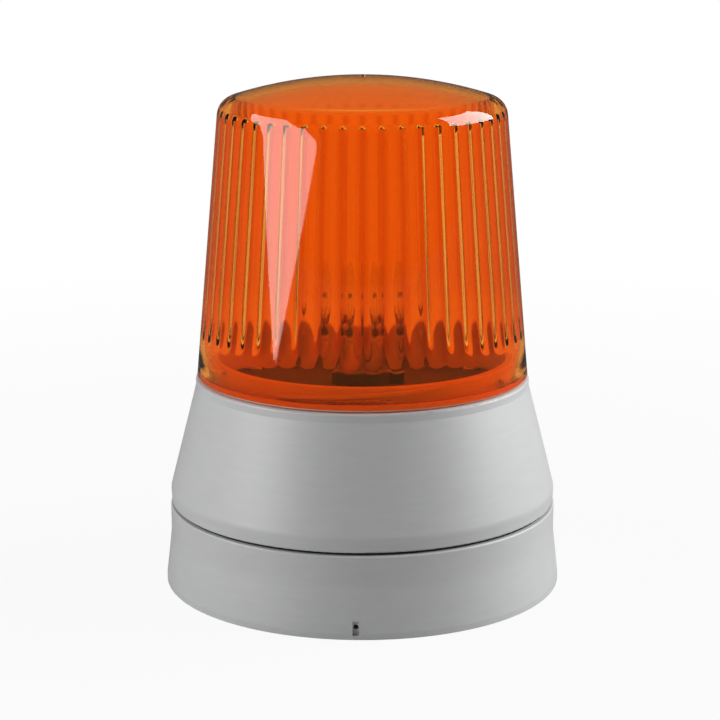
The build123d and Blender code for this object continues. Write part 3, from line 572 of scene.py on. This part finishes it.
# ---- lens
@dataclass
class Lens:
    """Amber cover with a fluted inside, a domed top and a groove for its seal.

    The gate is the small mark on its crown. Angles are in degrees.
    """

    material: bpy.types.Material
    flutes: int = 48
    flute_depth: float = 1.4 * MM
    flute_rows: int = 32
    cusp_softness: float = 0.22
    columns_in_flute: int = 10
    wall: float = 2.4 * MM
    crown_wall: float = 2.6 * MM
    foot_wall: float = 2.9 * MM
    draft: float = 8.0 * MM
    dome_radius: float = 141.0 * MM
    shoulder_round: float = 6.5 * MM
    flute_foot: float = 12.6 * MM
    flute_top_drop: float = 12.2 * MM
    flute_run_in: float = 9.0 * MM
    skirt_slope: float = 3.0 * MM
    row_crowding: float = 1.4
    row_gap: float = 0.3 * MM
    side_steps: int = 24
    shoulder_steps: int = 12
    dome_steps: int = 26
    fitting_rounds: int = 30
    gate_height: float = 0.4 * MM
    gate_radius: float = 1.2 * MM
    gate_clear: float = 1.5
    gate_corner: tuple[float, float] = (0.92, 0.8)
    gate_top: float = 0.7
    groove_depth: float = 1.7 * MM
    groove_width: float = 1.5 * MM
    groove_wall: float = 0.75 * MM
    rim_round: float = 0.3 * MM
    rim_corner: float = 0.21 * MM
    lugs: int = 4
    lug_arc: float = 22.0
    lug_ramp: float = 6.0
    lug_angle: float = -1.0
    lug_height: float = 70.578 * MM
    lug_depth: float = 1.3 * MM
    lug_thickness: float = 1.3 * MM
    lug_band: float = 1.4 * MM
    lug_rows: int = 20
    skirt_tolerance: float = 0.2 * MM
    crease: float = 50.0
    lead: float = 16.0 * MM
    foot: float = field(init=False)
    foot_radius: float = field(init=False)
    crown: float = field(init=False)

    def __post_init__(self) -> None:
        """Take the foot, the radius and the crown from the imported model."""
        low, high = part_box("lens")
        self.foot = low.z
        self.foot_radius = (high.x - low.x) / 2
        self.crown = high.z - self.gate_height

    def side_radius(self, height: float) -> float:
        """Outer radius of the tapered side.

        Args:
            height: where on the side.

        Returns:
            The radius.
        """
        corner_radius = self.foot_radius - self.draft
        corner = self.crown - self.dome_drop(corner_radius, self.dome_radius)
        share = (height - self.foot) / (corner - self.foot)
        return self.foot_radius - self.draft * share

    @staticmethod
    def dome_drop(radius: float, sphere: float) -> float:
        """How far a dome lies under its crown at a radius."""
        return sphere - math.sqrt(sphere**2 - radius**2)

    def shoulder(self, inset: float, sphere: float, crown: float, rounding: float) -> Profile:
        """Side, rounded shoulder and dome of one face of the lens.

        Args:
            inset: how far the side lies inside the outer side.
            sphere: radius of the dome.
            crown: level of the dome's crown.
            rounding: radius of the shoulder.

        Returns:
            Points from the start of the rounding to near the axis.
        """
        slope = math.atan2(self.draft, self.crown - self.foot)
        centre_z = crown
        for _ in range(self.fitting_rounds):
            centre_r = self.side_radius(centre_z) - inset - rounding / math.cos(slope)
            centre_z = crown - sphere + math.sqrt((sphere - rounding) ** 2 - centre_r**2)
        meeting = math.degrees(math.atan2(centre_z - (crown - sphere), centre_r))
        start = math.degrees(slope)
        points = arc((centre_r, centre_z), rounding, start, meeting, self.shoulder_steps)
        last = points[-1][0]
        for k in range(1, self.dome_steps):
            radius = last * (1 - k / self.dome_steps)
            points.append((radius, crown - self.dome_drop(radius, sphere)))
        return points

    def outline(self) -> tuple[Profile, list[float]]:
        """Closed outline of the wall, and how deep the flutes are at each point.

        Returns:
            Points of radius and height from the outer crown down the outside and up the
            inside to the inner crown, and one weight for each.
        """
        gate, (corner_r, corner_z) = self.gate_radius, self.gate_corner
        outer = self.shoulder(0.0, self.dome_radius, self.crown, self.shoulder_round)
        outer = [point for point in outer if point[0] > self.gate_clear * gate]
        outer += [
            (gate, self.crown - self.dome_drop(gate, self.dome_radius)),
            (gate * corner_r, self.crown + self.gate_height * corner_z),
            (gate * self.gate_top, self.crown + self.gate_height),
        ]
        inner = self.shoulder(
            self.wall + self.flute_depth, self.dome_radius - self.crown_wall,
            self.crown - self.crown_wall, self.shoulder_round - self.wall,
        )
        top, foot = outer[0][1], self.foot + self.rim_round
        levels = [
            top + (foot - top) * k / self.side_steps for k in range(1, self.side_steps + 1)
        ]
        outside = outer[::-1] + [(self.side_radius(level), level) for level in levels]
        inside, weights = self.inside()
        flute_top = inside[-1][1]
        inner = [point for point in inner if point[1] > flute_top + self.row_gap]
        outline = outside + self.rim() + inside + inner
        before = len(outline) - len(inside) - len(inner)
        return outline, [0.0] * before + weights + [0.0] * len(inner)

    def inside(self) -> tuple[Profile, list[float]]:
        """Inner skirt, with rows for the lugs, and the fluted wall above it.

        Returns:
            Points from the rim up, and the flutes' weight at each.
        """
        skirt = self.foot_radius - self.foot_wall
        flute_foot = self.foot + self.flute_foot
        flute_top = self.crown - self.flute_top_drop
        low = self.lug_height - self.lug_band
        high = self.lug_height + self.lug_band
        points = [(skirt, self.foot + self.rim_corner)]
        for k in range(self.lug_rows + 1):
            points.append((skirt, low + (high - low) * k / self.lug_rows))
        points.append((skirt, flute_foot - self.skirt_slope))
        weights = [0.0] * len(points)
        for k in range(self.flute_rows + 1):
            share = (k / self.flute_rows) ** self.row_crowding
            height = flute_foot + (flute_top - flute_foot) * share
            points.append((self.side_radius(height) - self.wall, height))
            run_in = min(1.0, (height - flute_foot) / self.flute_run_in)
            weights.append(math.sin(run_in * math.pi / 2))
        return points, weights

    def rim(self) -> Profile:
        """Rounded rim with the groove for the seal.

        Returns:
            Points from outside to inside.
        """
        groove_outer = self.foot_radius - self.groove_wall
        groove_inner = groove_outer - self.groove_width
        top = self.foot + self.groove_depth
        return [
            (self.foot_radius - self.rim_corner, self.foot),
            (groove_outer, self.foot),
            (groove_outer, top),
            (groove_inner, top),
            (groove_inner, self.foot),
            (self.foot_radius - self.foot_wall + self.rim_corner, self.foot),
        ]

    def shell(self) -> Piece:
        """Turn the outline into a closed shell that carries the flutes' weights.

        Returns:
            The shell, before its flutes and lugs are drawn.
        """
        outline, weights = self.outline()
        columns = self.flutes * self.columns_in_flute
        points = [
            polar(radius, 2 * math.pi * k / columns, height)
            for radius, height in outline
            for k in range(columns)
        ]
        faces = tube_faces(len(outline), columns)
        outer_pole, inner_pole = len(points), len(points) + 1
        points.append(Vector((0.0, 0.0, self.crown + self.gate_height)))
        points.append(Vector((0.0, 0.0, self.crown - self.crown_wall)))
        last = (len(outline) - 1) * columns
        for k in range(columns):
            after = (k + 1) % columns
            faces.append((outer_pole, k, after))
            faces.append((inner_pole, last + after, last + k))
        made = mesh_object("amber_lens", points, faces)
        attribute = made.data.attributes.new("flute", "FLOAT", "POINT")
        spread = [weight for weight in weights for _ in range(columns)] + [0.0, 0.0]
        attribute.data.foreach_set("value", spread)
        return made

    def wall_tree(self, values: dict[str, Any]) -> Tree:
        """Geometry tree that draws the flutes and the thread lugs out of the inner wall.

        Args:
            values: value of each of its inputs.

        Returns:
            The tree. It also stores painted shade where the wall meets between flutes, as
            flute_edge.
        """
        graph, value, out = node_group("lens_inner_wall", "GeometryNodeTree", values, ())
        calc = graph.math
        position = graph.put("GeometryNodeInputPosition").outputs[0]
        apart = graph.put("ShaderNodeSeparateXYZ", {0: position}).outputs
        turns = calc("DIVIDE", calc("ARCTAN2", apart["Y"], apart["X"]), 2 * math.pi)
        # flutes: arches that meet at softened edges
        place = calc("FRACT", calc("MULTIPLY", turns, value["Flutes"]))
        wave = calc("SINE", calc("MULTIPLY", place, math.pi))
        softening = value["Cusp Softness"]
        square = calc("MULTIPLY_ADD", wave, wave, calc("MULTIPLY", softening, softening))
        bulge = calc("SUBTRACT", calc("SQRT", square), softening)
        weight = graph.put(
            "GeometryNodeInputNamedAttribute", {"Name": "flute"}, data_type="FLOAT"
        ).outputs[0]
        flute = calc("MULTIPLY", calc("MULTIPLY", bulge, weight), value["Depth"])
        # lugs: short ridges that climb with the thread and fade at both ends
        turned = calc("SUBTRACT", turns, calc("DIVIDE", value["Lug Angle"], FULL_TURN))
        shares = calc("MULTIPLY_ADD", turned, value["Lugs"], 0.5)
        off_turns = calc("SUBTRACT", calc("FRACT", shares), 0.5)
        off_turns = calc("DIVIDE", off_turns, value["Lugs"])
        half_arc = calc("DIVIDE", value["Lug Arc"], 2 * FULL_TURN)
        from_end = calc("SUBTRACT", half_arc, calc("ABSOLUTE", off_turns))
        in_arc = calc("DIVIDE", from_end, calc("DIVIDE", value["Lug Ramp"], FULL_TURN))
        in_arc = calc("MINIMUM", calc("MAXIMUM", in_arc, 0.0), 1.0)
        middle = calc("MULTIPLY_ADD", off_turns, value["Lead"], value["Lug Height"])
        off_height = calc("ABSOLUTE", calc("SUBTRACT", apart["Z"], middle))
        half = calc("MULTIPLY", value["Lug Thickness"], 0.5)
        in_height = calc("LESS_THAN", off_height, half)
        flat = graph.put("ShaderNodeCombineXYZ", {0: apart["X"], 1: apart["Y"]}).outputs[0]
        length = graph.vector("LENGTH", flat).outputs["Value"]
        off_skirt = calc("ABSOLUTE", calc("SUBTRACT", length, value["Skirt Radius"]))
        on_skirt = calc("LESS_THAN", off_skirt, self.skirt_tolerance)
        lug = calc("MULTIPLY", calc("MULTIPLY", in_arc, in_height), on_skirt)
        lug = calc("MULTIPLY", lug, value["Lug Depth"])
        outward = graph.vector("NORMALIZE", flat).outputs[0]
        inward = calc("MULTIPLY", calc("ADD", flute, lug), -1.0)
        push = graph.put(
            "ShaderNodeVectorMath", {0: outward, "Scale": inward}, operation="SCALE"
        ).outputs[0]
        # painted shade weight: largest where the flutes meet, for the dark lines seen there
        cusp_shade = calc("POWER", calc("SUBTRACT", 1.0, bulge), 2.0)
        marked = graph.put(
            "GeometryNodeStoreNamedAttribute",
            {
                0: value["Geometry"], "Name": "flute_edge",
                "Value": calc("MULTIPLY", cusp_shade, weight),
            },
            data_type="FLOAT", domain="POINT",
        )
        moved = graph.put("GeometryNodeSetPosition", {0: marked.outputs[0], "Offset": push})
        return finish_tree(graph, moved.outputs[0], value, out)

    def build(self) -> Piece:
        """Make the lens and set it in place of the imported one.

        Returns:
            The lens.
        """
        piece = self.shell()
        values = {
            "Flutes": self.flutes, "Depth": self.flute_depth,
            "Cusp Softness": self.cusp_softness, "Lugs": self.lugs, "Lug Arc": self.lug_arc,
            "Lug Ramp": self.lug_ramp, "Lug Angle": self.lug_angle,
            "Lug Height": self.lug_height, "Lug Depth": self.lug_depth,
            "Lug Thickness": self.lug_thickness, "Lead": self.lead,
            "Skirt Radius": self.foot_radius - self.foot_wall, "Material": self.material,
        }
        run_tree(piece, self.wall_tree(values), values)
        piece.data.set_sharp_from_angle(angle=math.radians(self.crease))
        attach(piece, "lens")
        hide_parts("lens")
        return piece


# ---- screws
@dataclass
class Screws:
    """A set of cross-headed pan screws with rolled threads.

    The sizes from head_flat on are shares of the head, the radius or the pitch.
    """

    node: str
    material: bpy.types.Material
    radius: float
    head_radius: float
    head_height: float
    length: float
    pitch: float
    seat: float
    circle: float
    angles: tuple[float, ...]
    upward: bool = False
    slot: str = "zinc_steel"
    seed: int = 3
    sides: int = 24
    crease: float = 30.0
    head_flat: float = 0.55
    head_round: float = 0.45
    head_steps: int = 6
    neck: float = 0.82
    tip: float = 0.6
    tip_length: float = 0.4
    thread_depth: float = 0.3
    rings_in_pitch: int = 4
    cross_reach: float = 0.55
    cross_half: float = 0.13
    cross_foot: float = 0.4
    cross_top: float = 1.2
    cross_taper: float = 0.6

    def ring(self, radius: float, height: float, depth: float = 0.0) -> list[Vector]:
        """Points round the screw's axis.

        Args:
            radius: radius of the ring, at the crest of a thread.
            height: its height.
            depth: depth of the thread, or nothing for a plain ring.

        Returns:
            The points.
        """
        points = []
        for k in range(self.sides):
            turn = k / self.sides
            phase = (height / self.pitch - turn) % 1.0
            points.append(polar(radius - depth * abs(2 * phase - 1), 2 * math.pi * turn, height))
        return points

    def blank(self) -> Piece:
        """One screw, with the underside of its head on the origin and no recess yet.

        Returns:
            The screw.
        """
        across, up = self.head_round * self.head_radius, self.head_round * self.head_height
        flat_r, flat_z = self.head_flat * self.head_radius, self.head_flat * self.head_height
        rings = [
            self.ring(flat_r + x * across, flat_z + y * up)
            for x, y in reversed(arc((0.0, 0.0), 1.0, 0.0, 90.0, self.head_steps))
        ]
        rings.append(self.ring(self.head_radius, 0.0))
        rings.append(self.ring(self.neck * self.radius, 0.0))
        end = -self.length + self.tip_length * self.radius
        steps = max(2, round(-end / self.pitch * self.rings_in_pitch))
        for k in range(1, steps + 1):
            rings.append(self.ring(self.radius, end * k / steps, self.thread_depth * self.pitch))
        rings.append(self.ring(self.tip * self.radius, -self.length))
        points = [point for ring in rings for point in ring]
        faces = [tuple(range(self.sides))] + tube_faces(len(rings), self.sides)
        faces.append(tuple(reversed(range(len(points) - self.sides, len(points)))))
        return mesh_object(f"{self.node}_blank", points, faces)

    def cross(self) -> Piece:
        """The tapered cross that the recess is cut with.

        Returns:
            The cross.
        """
        reach, half = self.cross_reach * self.head_radius, self.cross_half * self.head_radius
        outline = []
        for turn in range(4):
            for x, y in ((reach, half), (half, half), (half, reach)):
                for _ in range(turn):
                    x, y = -y, x
                outline.append((x, y))
        top, foot = self.cross_top * self.head_height, self.cross_foot * self.head_height
        taper, count = self.cross_taper, len(outline)
        points = [Vector((taper * x, taper * y, foot)) for x, y in outline]
        points += [Vector((x, y, top)) for x, y in outline]
        faces: list[tuple[int, ...]] = [
            (k, (k + 1) % count, count + (k + 1) % count, count + k) for k in range(count)
        ]
        faces += [tuple(reversed(range(count))), tuple(range(count, 2 * count))]
        return mesh_object(f"{self.node}_cross", points, faces)

    def tree(self, values: dict[str, Any]) -> Tree:
        """Geometry tree that sets a screw on every point and turns each at random.

        Args:
            values: value of each of its inputs.

        Returns:
            The tree.
        """
        graph, value, out = node_group("screw_set", "GeometryNodeTree", values, ())
        screw = graph.put("GeometryNodeObjectInfo", {"Object": value["Screw"]}).outputs
        turn = graph.put(
            "FunctionNodeRandomValue", {3: 2 * math.pi, "Seed": value["Seed"]}, data_type="FLOAT"
        )
        euler = graph.put("ShaderNodeCombineXYZ", {0: value["Tilt"], 2: turn.outputs[1]})
        placed = graph.put(
            "GeometryNodeInstanceOnPoints",
            {
                0: value["Geometry"], "Instance": screw["Geometry"],
                "Rotation": euler.outputs[0],
            },
        )
        return finish_tree(graph, placed.outputs[0], value, out)

    def build(self) -> Piece:
        """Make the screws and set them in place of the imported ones.

        Returns:
            All the screws, as one piece.
        """
        blank, cross = self.blank(), self.cross()
        cut = blank.modifiers.new("recess", "BOOLEAN")
        cut.operation, cut.object, cut.solver = "DIFFERENCE", cross, "EXACT"
        bake_modifiers(blank)
        points = [polar(self.circle, math.radians(angle), self.seat) for angle in self.angles]
        piece = mesh_object(f"{self.node}_made", points, [])
        tilt = math.pi if self.upward else 0.0
        values = {"Screw": blank, "Tilt": tilt, "Seed": self.seed, "Material": self.material}
        run_tree(piece, self.tree(values), values)
        piece.data.set_sharp_from_angle(angle=math.radians(self.crease))
        for helper in (blank, cross):
            bpy.data.objects.remove(helper)
        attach(piece, "root")
        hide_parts(self.node)
        return piece


# ---- springs and filament
def coil_line(graph: Graph, given: Any, length: Socket, spans: int) -> Socket:
    """Centre line of a coil up the Z axis, from its length and the points in a turn."""
    sockets = {
        "Resolution": spans, "Rotations": given["Turns"], "Start Radius": given["Coil Radius"],
        "End Radius": given["Coil Radius"], "Height": length,
    }
    return graph.put("GeometryNodeCurveSpiral", sockets).outputs[0]


def wire_mesh(graph: Graph, given: Any, line: Socket, sides: int) -> Socket:
    """Give a line the round section of a wire.

    Args:
        graph: tree that it goes into.
        given: outputs of the tree's input node.
        line: the line.
        sides: sides of the section.

    Returns:
        The wire's mesh.
    """
    sockets = {"Resolution": sides, "Radius": given["Wire Radius"]}
    section = graph.put("GeometryNodeCurvePrimitiveCircle", sockets).outputs[0]
    sockets = {0: line, 1: section, "Fill Caps": True}
    return graph.put("GeometryNodeCurveToMesh", sockets).outputs[0]


@dataclass
class ContactSprings:
    """The two coil springs under the holder's contacts, wound at one fixed length; the bulb
    squeezes the real ones as it goes down.
    """

    material: bpy.types.Material
    spacing: float = 7.2 * MM
    wire: float = 0.175 * MM
    turns: float = 5.0
    travel: float = 1.6 * MM
    spans: int = 28
    sides: int = 12

    def tree(self, values: dict[str, Any]) -> Tree:
        """Geometry tree that winds a wire up the Z axis and stands it on every point.

        Args:
            values: value of each of its inputs.

        Returns:
            The tree.
        """
        graph, given, out = node_group("wound_coils", "GeometryNodeTree", values, ())
        line = coil_line(graph, given, given["Height"], self.spans)
        coil = wire_mesh(graph, given, line, self.sides)
        sockets = {0: given["Geometry"], "Instance": coil}
        placed = graph.put("GeometryNodeInstanceOnPoints", sockets).outputs[0]
        return finish_tree(graph, placed, given, out)

    def build(self) -> Piece:
        """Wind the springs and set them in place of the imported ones.

        Returns:
            Both springs, as one piece.
        """
        low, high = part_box("contact_springs")
        coil = (high.x - low.x - self.spacing) / 2 - self.wire
        half = self.spacing / 2
        places = [Vector((side * half, 0.0, low.z + self.wire)) for side in (-1, 1)]
        piece = mesh_object("wound_springs", places, [])
        values = {
            "Turns": self.turns, "Coil Radius": coil, "Height": high.z - low.z - 2 * self.wire,
            "Wire Radius": self.wire, "Material": self.material,
        }
        run_tree(piece, self.tree(values), values)
        piece.data.shade_smooth()
        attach(piece, "root")
        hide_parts("contact_springs")
        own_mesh(piece)
        return piece


@dataclass
class Filament:
    """Coiled wire across the top of the bulb's supports."""

    material: bpy.types.Material
    wire: float = 0.14 * MM
    coil: float = 0.74 * MM
    turns: float = 13.0
    spans: int = 24
    sides: int = 10

    def tree(self, values: dict[str, Any]) -> Tree:
        """Geometry tree that winds a wire along the X axis.

        Args:
            values: value of each of its inputs.

        Returns:
            The tree.
        """
        graph, given, out = node_group("wound_wire", "GeometryNodeTree", values, ())
        line = coil_line(graph, given, given["Length"], self.spans)
        back = graph.math("MULTIPLY", given["Length"], -0.5)
        start = graph.put("ShaderNodeCombineXYZ", {0: back, 2: given["Level"]}).outputs[0]
        sockets = {0: line, "Translation": start, "Rotation": (0.0, math.pi / 2, 0.0)}
        laid = graph.put("GeometryNodeTransform", sockets).outputs[0]
        return finish_tree(graph, wire_mesh(graph, given, laid, self.sides), given, out)

    def build(self) -> Piece:
        """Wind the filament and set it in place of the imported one.

        Returns:
            The filament.
        """
        low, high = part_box("filament")
        piece = mesh_object("wound_filament", [], [])
        length = (high.x - low.x) - 2 * self.wire
        values = {
            "Turns": self.turns, "Coil Radius": self.coil, "Length": length,
            "Wire Radius": self.wire, "Level": (low.z + high.z) / 2, "Material": self.material,
        }
        run_tree(piece, self.tree(values), values)
        piece.data.shade_smooth()
        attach(piece, "bulb")
        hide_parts("filament")
        return piece


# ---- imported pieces
def dress_packed(frame: dict[str, Any]) -> None:
    """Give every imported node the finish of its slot.
    """
    made = {slot: finish.material() for slot, finish in FINISHES.items()}
    for entry in frame["record"]["subparts"]:
        node = frame["nodes"][entry["node"]]
        node.data.materials.clear()
        node.data.materials.append(made[entry["material_slot"]])
        LOG.info("dressed %s as %s", entry["node"], entry["material_slot"])


# ---- studio
@dataclass
class Studio:
    """Pale floor, white surround, two large side lamps and the camera."""

    distance: float = 638.3 * MM
    camera_height: float = 218.4 * MM
    pitch: float = 12.88
    focal: float = 100.0
    sensor: float = 36.0
    shift: float = -1 / 300
    floor_sides: int = 96
    floor_radius: float = 12.0
    floor_opening: float = 64.8 * MM
    floor_level: float = -0.1 * MM
    floor_tone: float = 0.45
    floor_roughness: float = 0.7
    floor_white: float = 0.93
    floor_fade: tuple[float, float] = (0.12, 0.6)
    below: float = 0.6
    lamp_distance: float = 1.0
    lamp_centre: float = 0.11
    lamp_spans: int = 8
    left_glow: float = 5.3
    left_rows: Rows = ((-5.5, -62, -60), (5.0, -84, -34), (9.0, -92, -50), (36.0, -112, -68))
    right_glow: float = 8.6
    right_rows: Rows = ((7.0, 78, 122), (9.0, 70, 122), (42.0, 72, 122))
    ambient: float = 0.13
    overhead: float = 0.06
    mirrored: float = 0.08
    mirrored_front: float = 0.15
    horizon: tuple[float, float] = (0.02, 0.14)
    front_to_back: tuple[float, float] = (-0.4, 0.6)
    below_start: float = -0.1

    def floor(self) -> None:
        """A wide pale floor that reads white, open only where the base covers it."""
        sides = self.floor_sides
        points = [
            polar(radius, 2 * math.pi * k / sides, self.floor_level)
            for radius in (self.floor_opening, self.floor_radius)
            for k in range(sides)
        ]
        faces = [(k, sides + k, sides + (k + 1) % sides, (k + 1) % sides) for k in range(sides)]
        made = mesh_object("studio_floor", points, faces)
        material, graph, shader, output = new_material("studio_floor")
        made.data.materials.append(material)
        shader.inputs["Base Color"].default_value = grey(self.floor_tone)
        shader.inputs["Roughness"].default_value = self.floor_roughness
        paths = graph.put("ShaderNodeLightPath")
        plain = graph.looked_at(paths)
        glossy = paths.outputs["Is Glossy Ray"]
        strength = graph.math("MAXIMUM", plain, graph.math("MULTIPLY", glossy, self.mirrored))
        white = graph.put("ShaderNodeEmission", {"Strength": strength})
        place = graph.put("ShaderNodeTexCoord").outputs["Object"]
        away = graph.vector("LENGTH", place).outputs["Value"]
        start, end = self.floor_fade
        fading = graph.spread(away, self.floor_white, start=start, end=end)
        share = graph.math("MULTIPLY", graph.math("MAXIMUM", plain, glossy), fading)
        mixed = graph.join(share, shader, white).node
        underneath = graph.put("ShaderNodeNewGeometry").outputs["Backfacing"]
        clear = graph.put("ShaderNodeBsdfTransparent")
        sided = graph.join(underneath, mixed, clear)
        graph.tree.links.new(sided, output.inputs["Surface"])

    def world(self) -> None:
        """White where it is looked at, softer as a source of light."""
        world = bpy.data.worlds.new("studio")
        bpy.context.scene.world = world
        world.use_nodes = True
        world.node_tree.nodes.clear()
        graph = Graph(world.node_tree)
        paths = graph.put("ShaderNodeLightPath")
        direction = graph.put("ShaderNodeTexCoord").outputs["Generated"]
        apart = graph.put("ShaderNodeSeparateXYZ", {0: direction}).outputs
        start, end = self.horizon
        fading = graph.spread(apart["Z"], self.mirrored, self.overhead, start, end)
        start, end = self.front_to_back
        behind = graph.spread(apart["Y"], self.mirrored_front, start=start, end=end)
        mirrored = graph.math("MULTIPLY", fading, behind)
        mirrored = graph.math("MULTIPLY", mirrored, paths.outputs["Is Glossy Ray"])
        under = graph.math("LESS_THAN", apart["Z"], self.below_start)
        soft = graph.math("MAXIMUM", graph.math("MULTIPLY", under, self.below), self.ambient)
        scattered = graph.math("MULTIPLY", paths.outputs["Is Diffuse Ray"], soft)
        strength = graph.math("MAXIMUM", mirrored, scattered)
        strength = graph.math("MAXIMUM", strength, graph.looked_at(paths))
        light = graph.put("ShaderNodeBackground", {"Color": grey(1.0), "Strength": strength})
        graph.put("ShaderNodeOutputWorld", {"Surface": light.outputs[0]})

    def lamp(self, name: str, rows: Rows, glow: float) -> None:
        """Add one soft glowing panel, which the camera does not see.

        Args:
            name: name of the panel.
            rows: its rows from the lowest up: elevation, first and last azimuth in degrees
                from the front, turning right.
            glow: its radiance.
        """
        points: list[Vector] = []
        spans = self.lamp_spans
        for elevation, start, end in rows:
            level = self.lamp_distance * math.tan(math.radians(elevation)) + self.lamp_centre
            for k in range(spans + 1):
                azimuth = math.radians(start + (end - start) * k / spans - FULL_TURN / 4)
                points.append(polar(self.lamp_distance, azimuth, level))
        faces = []
        for row in range(len(rows) - 1):
            for k in range(spans):
                here = row * (spans + 1) + k
                there = here + spans + 1
                faces.append((here, there, there + 1, here + 1))
        made = mesh_object(name, points, faces)
        material, graph, shader, output = new_material(name)
        graph.tree.nodes.remove(shader)
        light = graph.put("ShaderNodeEmission", {"Strength": glow})
        clear = graph.put("ShaderNodeBsdfTransparent")
        hidden = graph.looked_at(graph.put("ShaderNodeLightPath"))
        graph.tree.links.new(graph.join(hidden, light, clear), output.inputs["Surface"])
        made.data.materials.append(material)

    def camera(self) -> None:
        """Add the camera at the height and distance of the view."""
        data = bpy.data.cameras.new("camera")
        data.lens = self.focal
        data.sensor_width = self.sensor
        data.shift_x = self.shift
        made = bpy.data.objects.new("camera", data)
        made.location = (0.0, -self.distance, self.camera_height)
        made.rotation_euler = (math.radians(90.0 - self.pitch), 0.0, 0.0)
        bpy.context.scene.collection.objects.link(made)
        bpy.context.scene.camera = made

    def build(self) -> None:
        """Set up the whole studio."""
        scene = bpy.context.scene
        scene.view_settings.view_transform = "Standard"
        self.floor()
        self.world()
        self.camera()
        self.lamp("left_lamp", self.left_rows, self.left_glow)
        self.lamp("right_lamp", self.right_rows, self.right_glow)


def main() -> None:
    """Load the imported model, dress it, build the modelled pieces and the studio."""
    logging.basicConfig(level=logging.INFO, format="%(name)s: %(message)s")
    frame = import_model()
    dress_packed(frame)
    lens = Lens(material=frame["nodes"]["lens"].data.materials[0])
    LOG.info("built %s", lens.build().name)
    steel = frame["nodes"]["deck_screws"].data.materials[0]
    deck = Screws(
        "deck_screws", steel, radius=1.45 * MM, head_radius=2.8 * MM, head_height=1.9 * MM,
        length=8.0 * MM, pitch=0.5 * MM, seat=65.0 * MM, circle=42.2 * MM,
        angles=(30.0, 150.0, 270.0),
    )
    housing = Screws(
        "housing_screws", steel, radius=2.0 * MM, head_radius=3.7 * MM, head_height=2.6 * MM,
        length=40.0 * MM, pitch=0.7 * MM, seat=54.0 * MM, circle=41.5 * MM,
        angles=(90.0, 210.0, 330.0),
    )
    board = Screws(
        "board_screws", steel, radius=1.2 * MM, head_radius=2.4 * MM, head_height=1.7 * MM,
        length=7.0 * MM, pitch=0.45 * MM, seat=47.4 * MM, circle=30.45 * MM,
        angles=(45.0, 135.0, 225.0, 315.0), upward=True,
    )
    for screws in (deck, housing, board):
        LOG.info("built %s", screws.build().name)
    filament = Filament(frame["nodes"]["filament"].data.materials[0])
    LOG.info("built %s", filament.build().name)
    springs = ContactSprings(frame["nodes"]["contact_springs"].data.materials[0])
    LOG.info("built %s", springs.build().name)
    Studio().build()


if __name__ == "__main__":
    main()
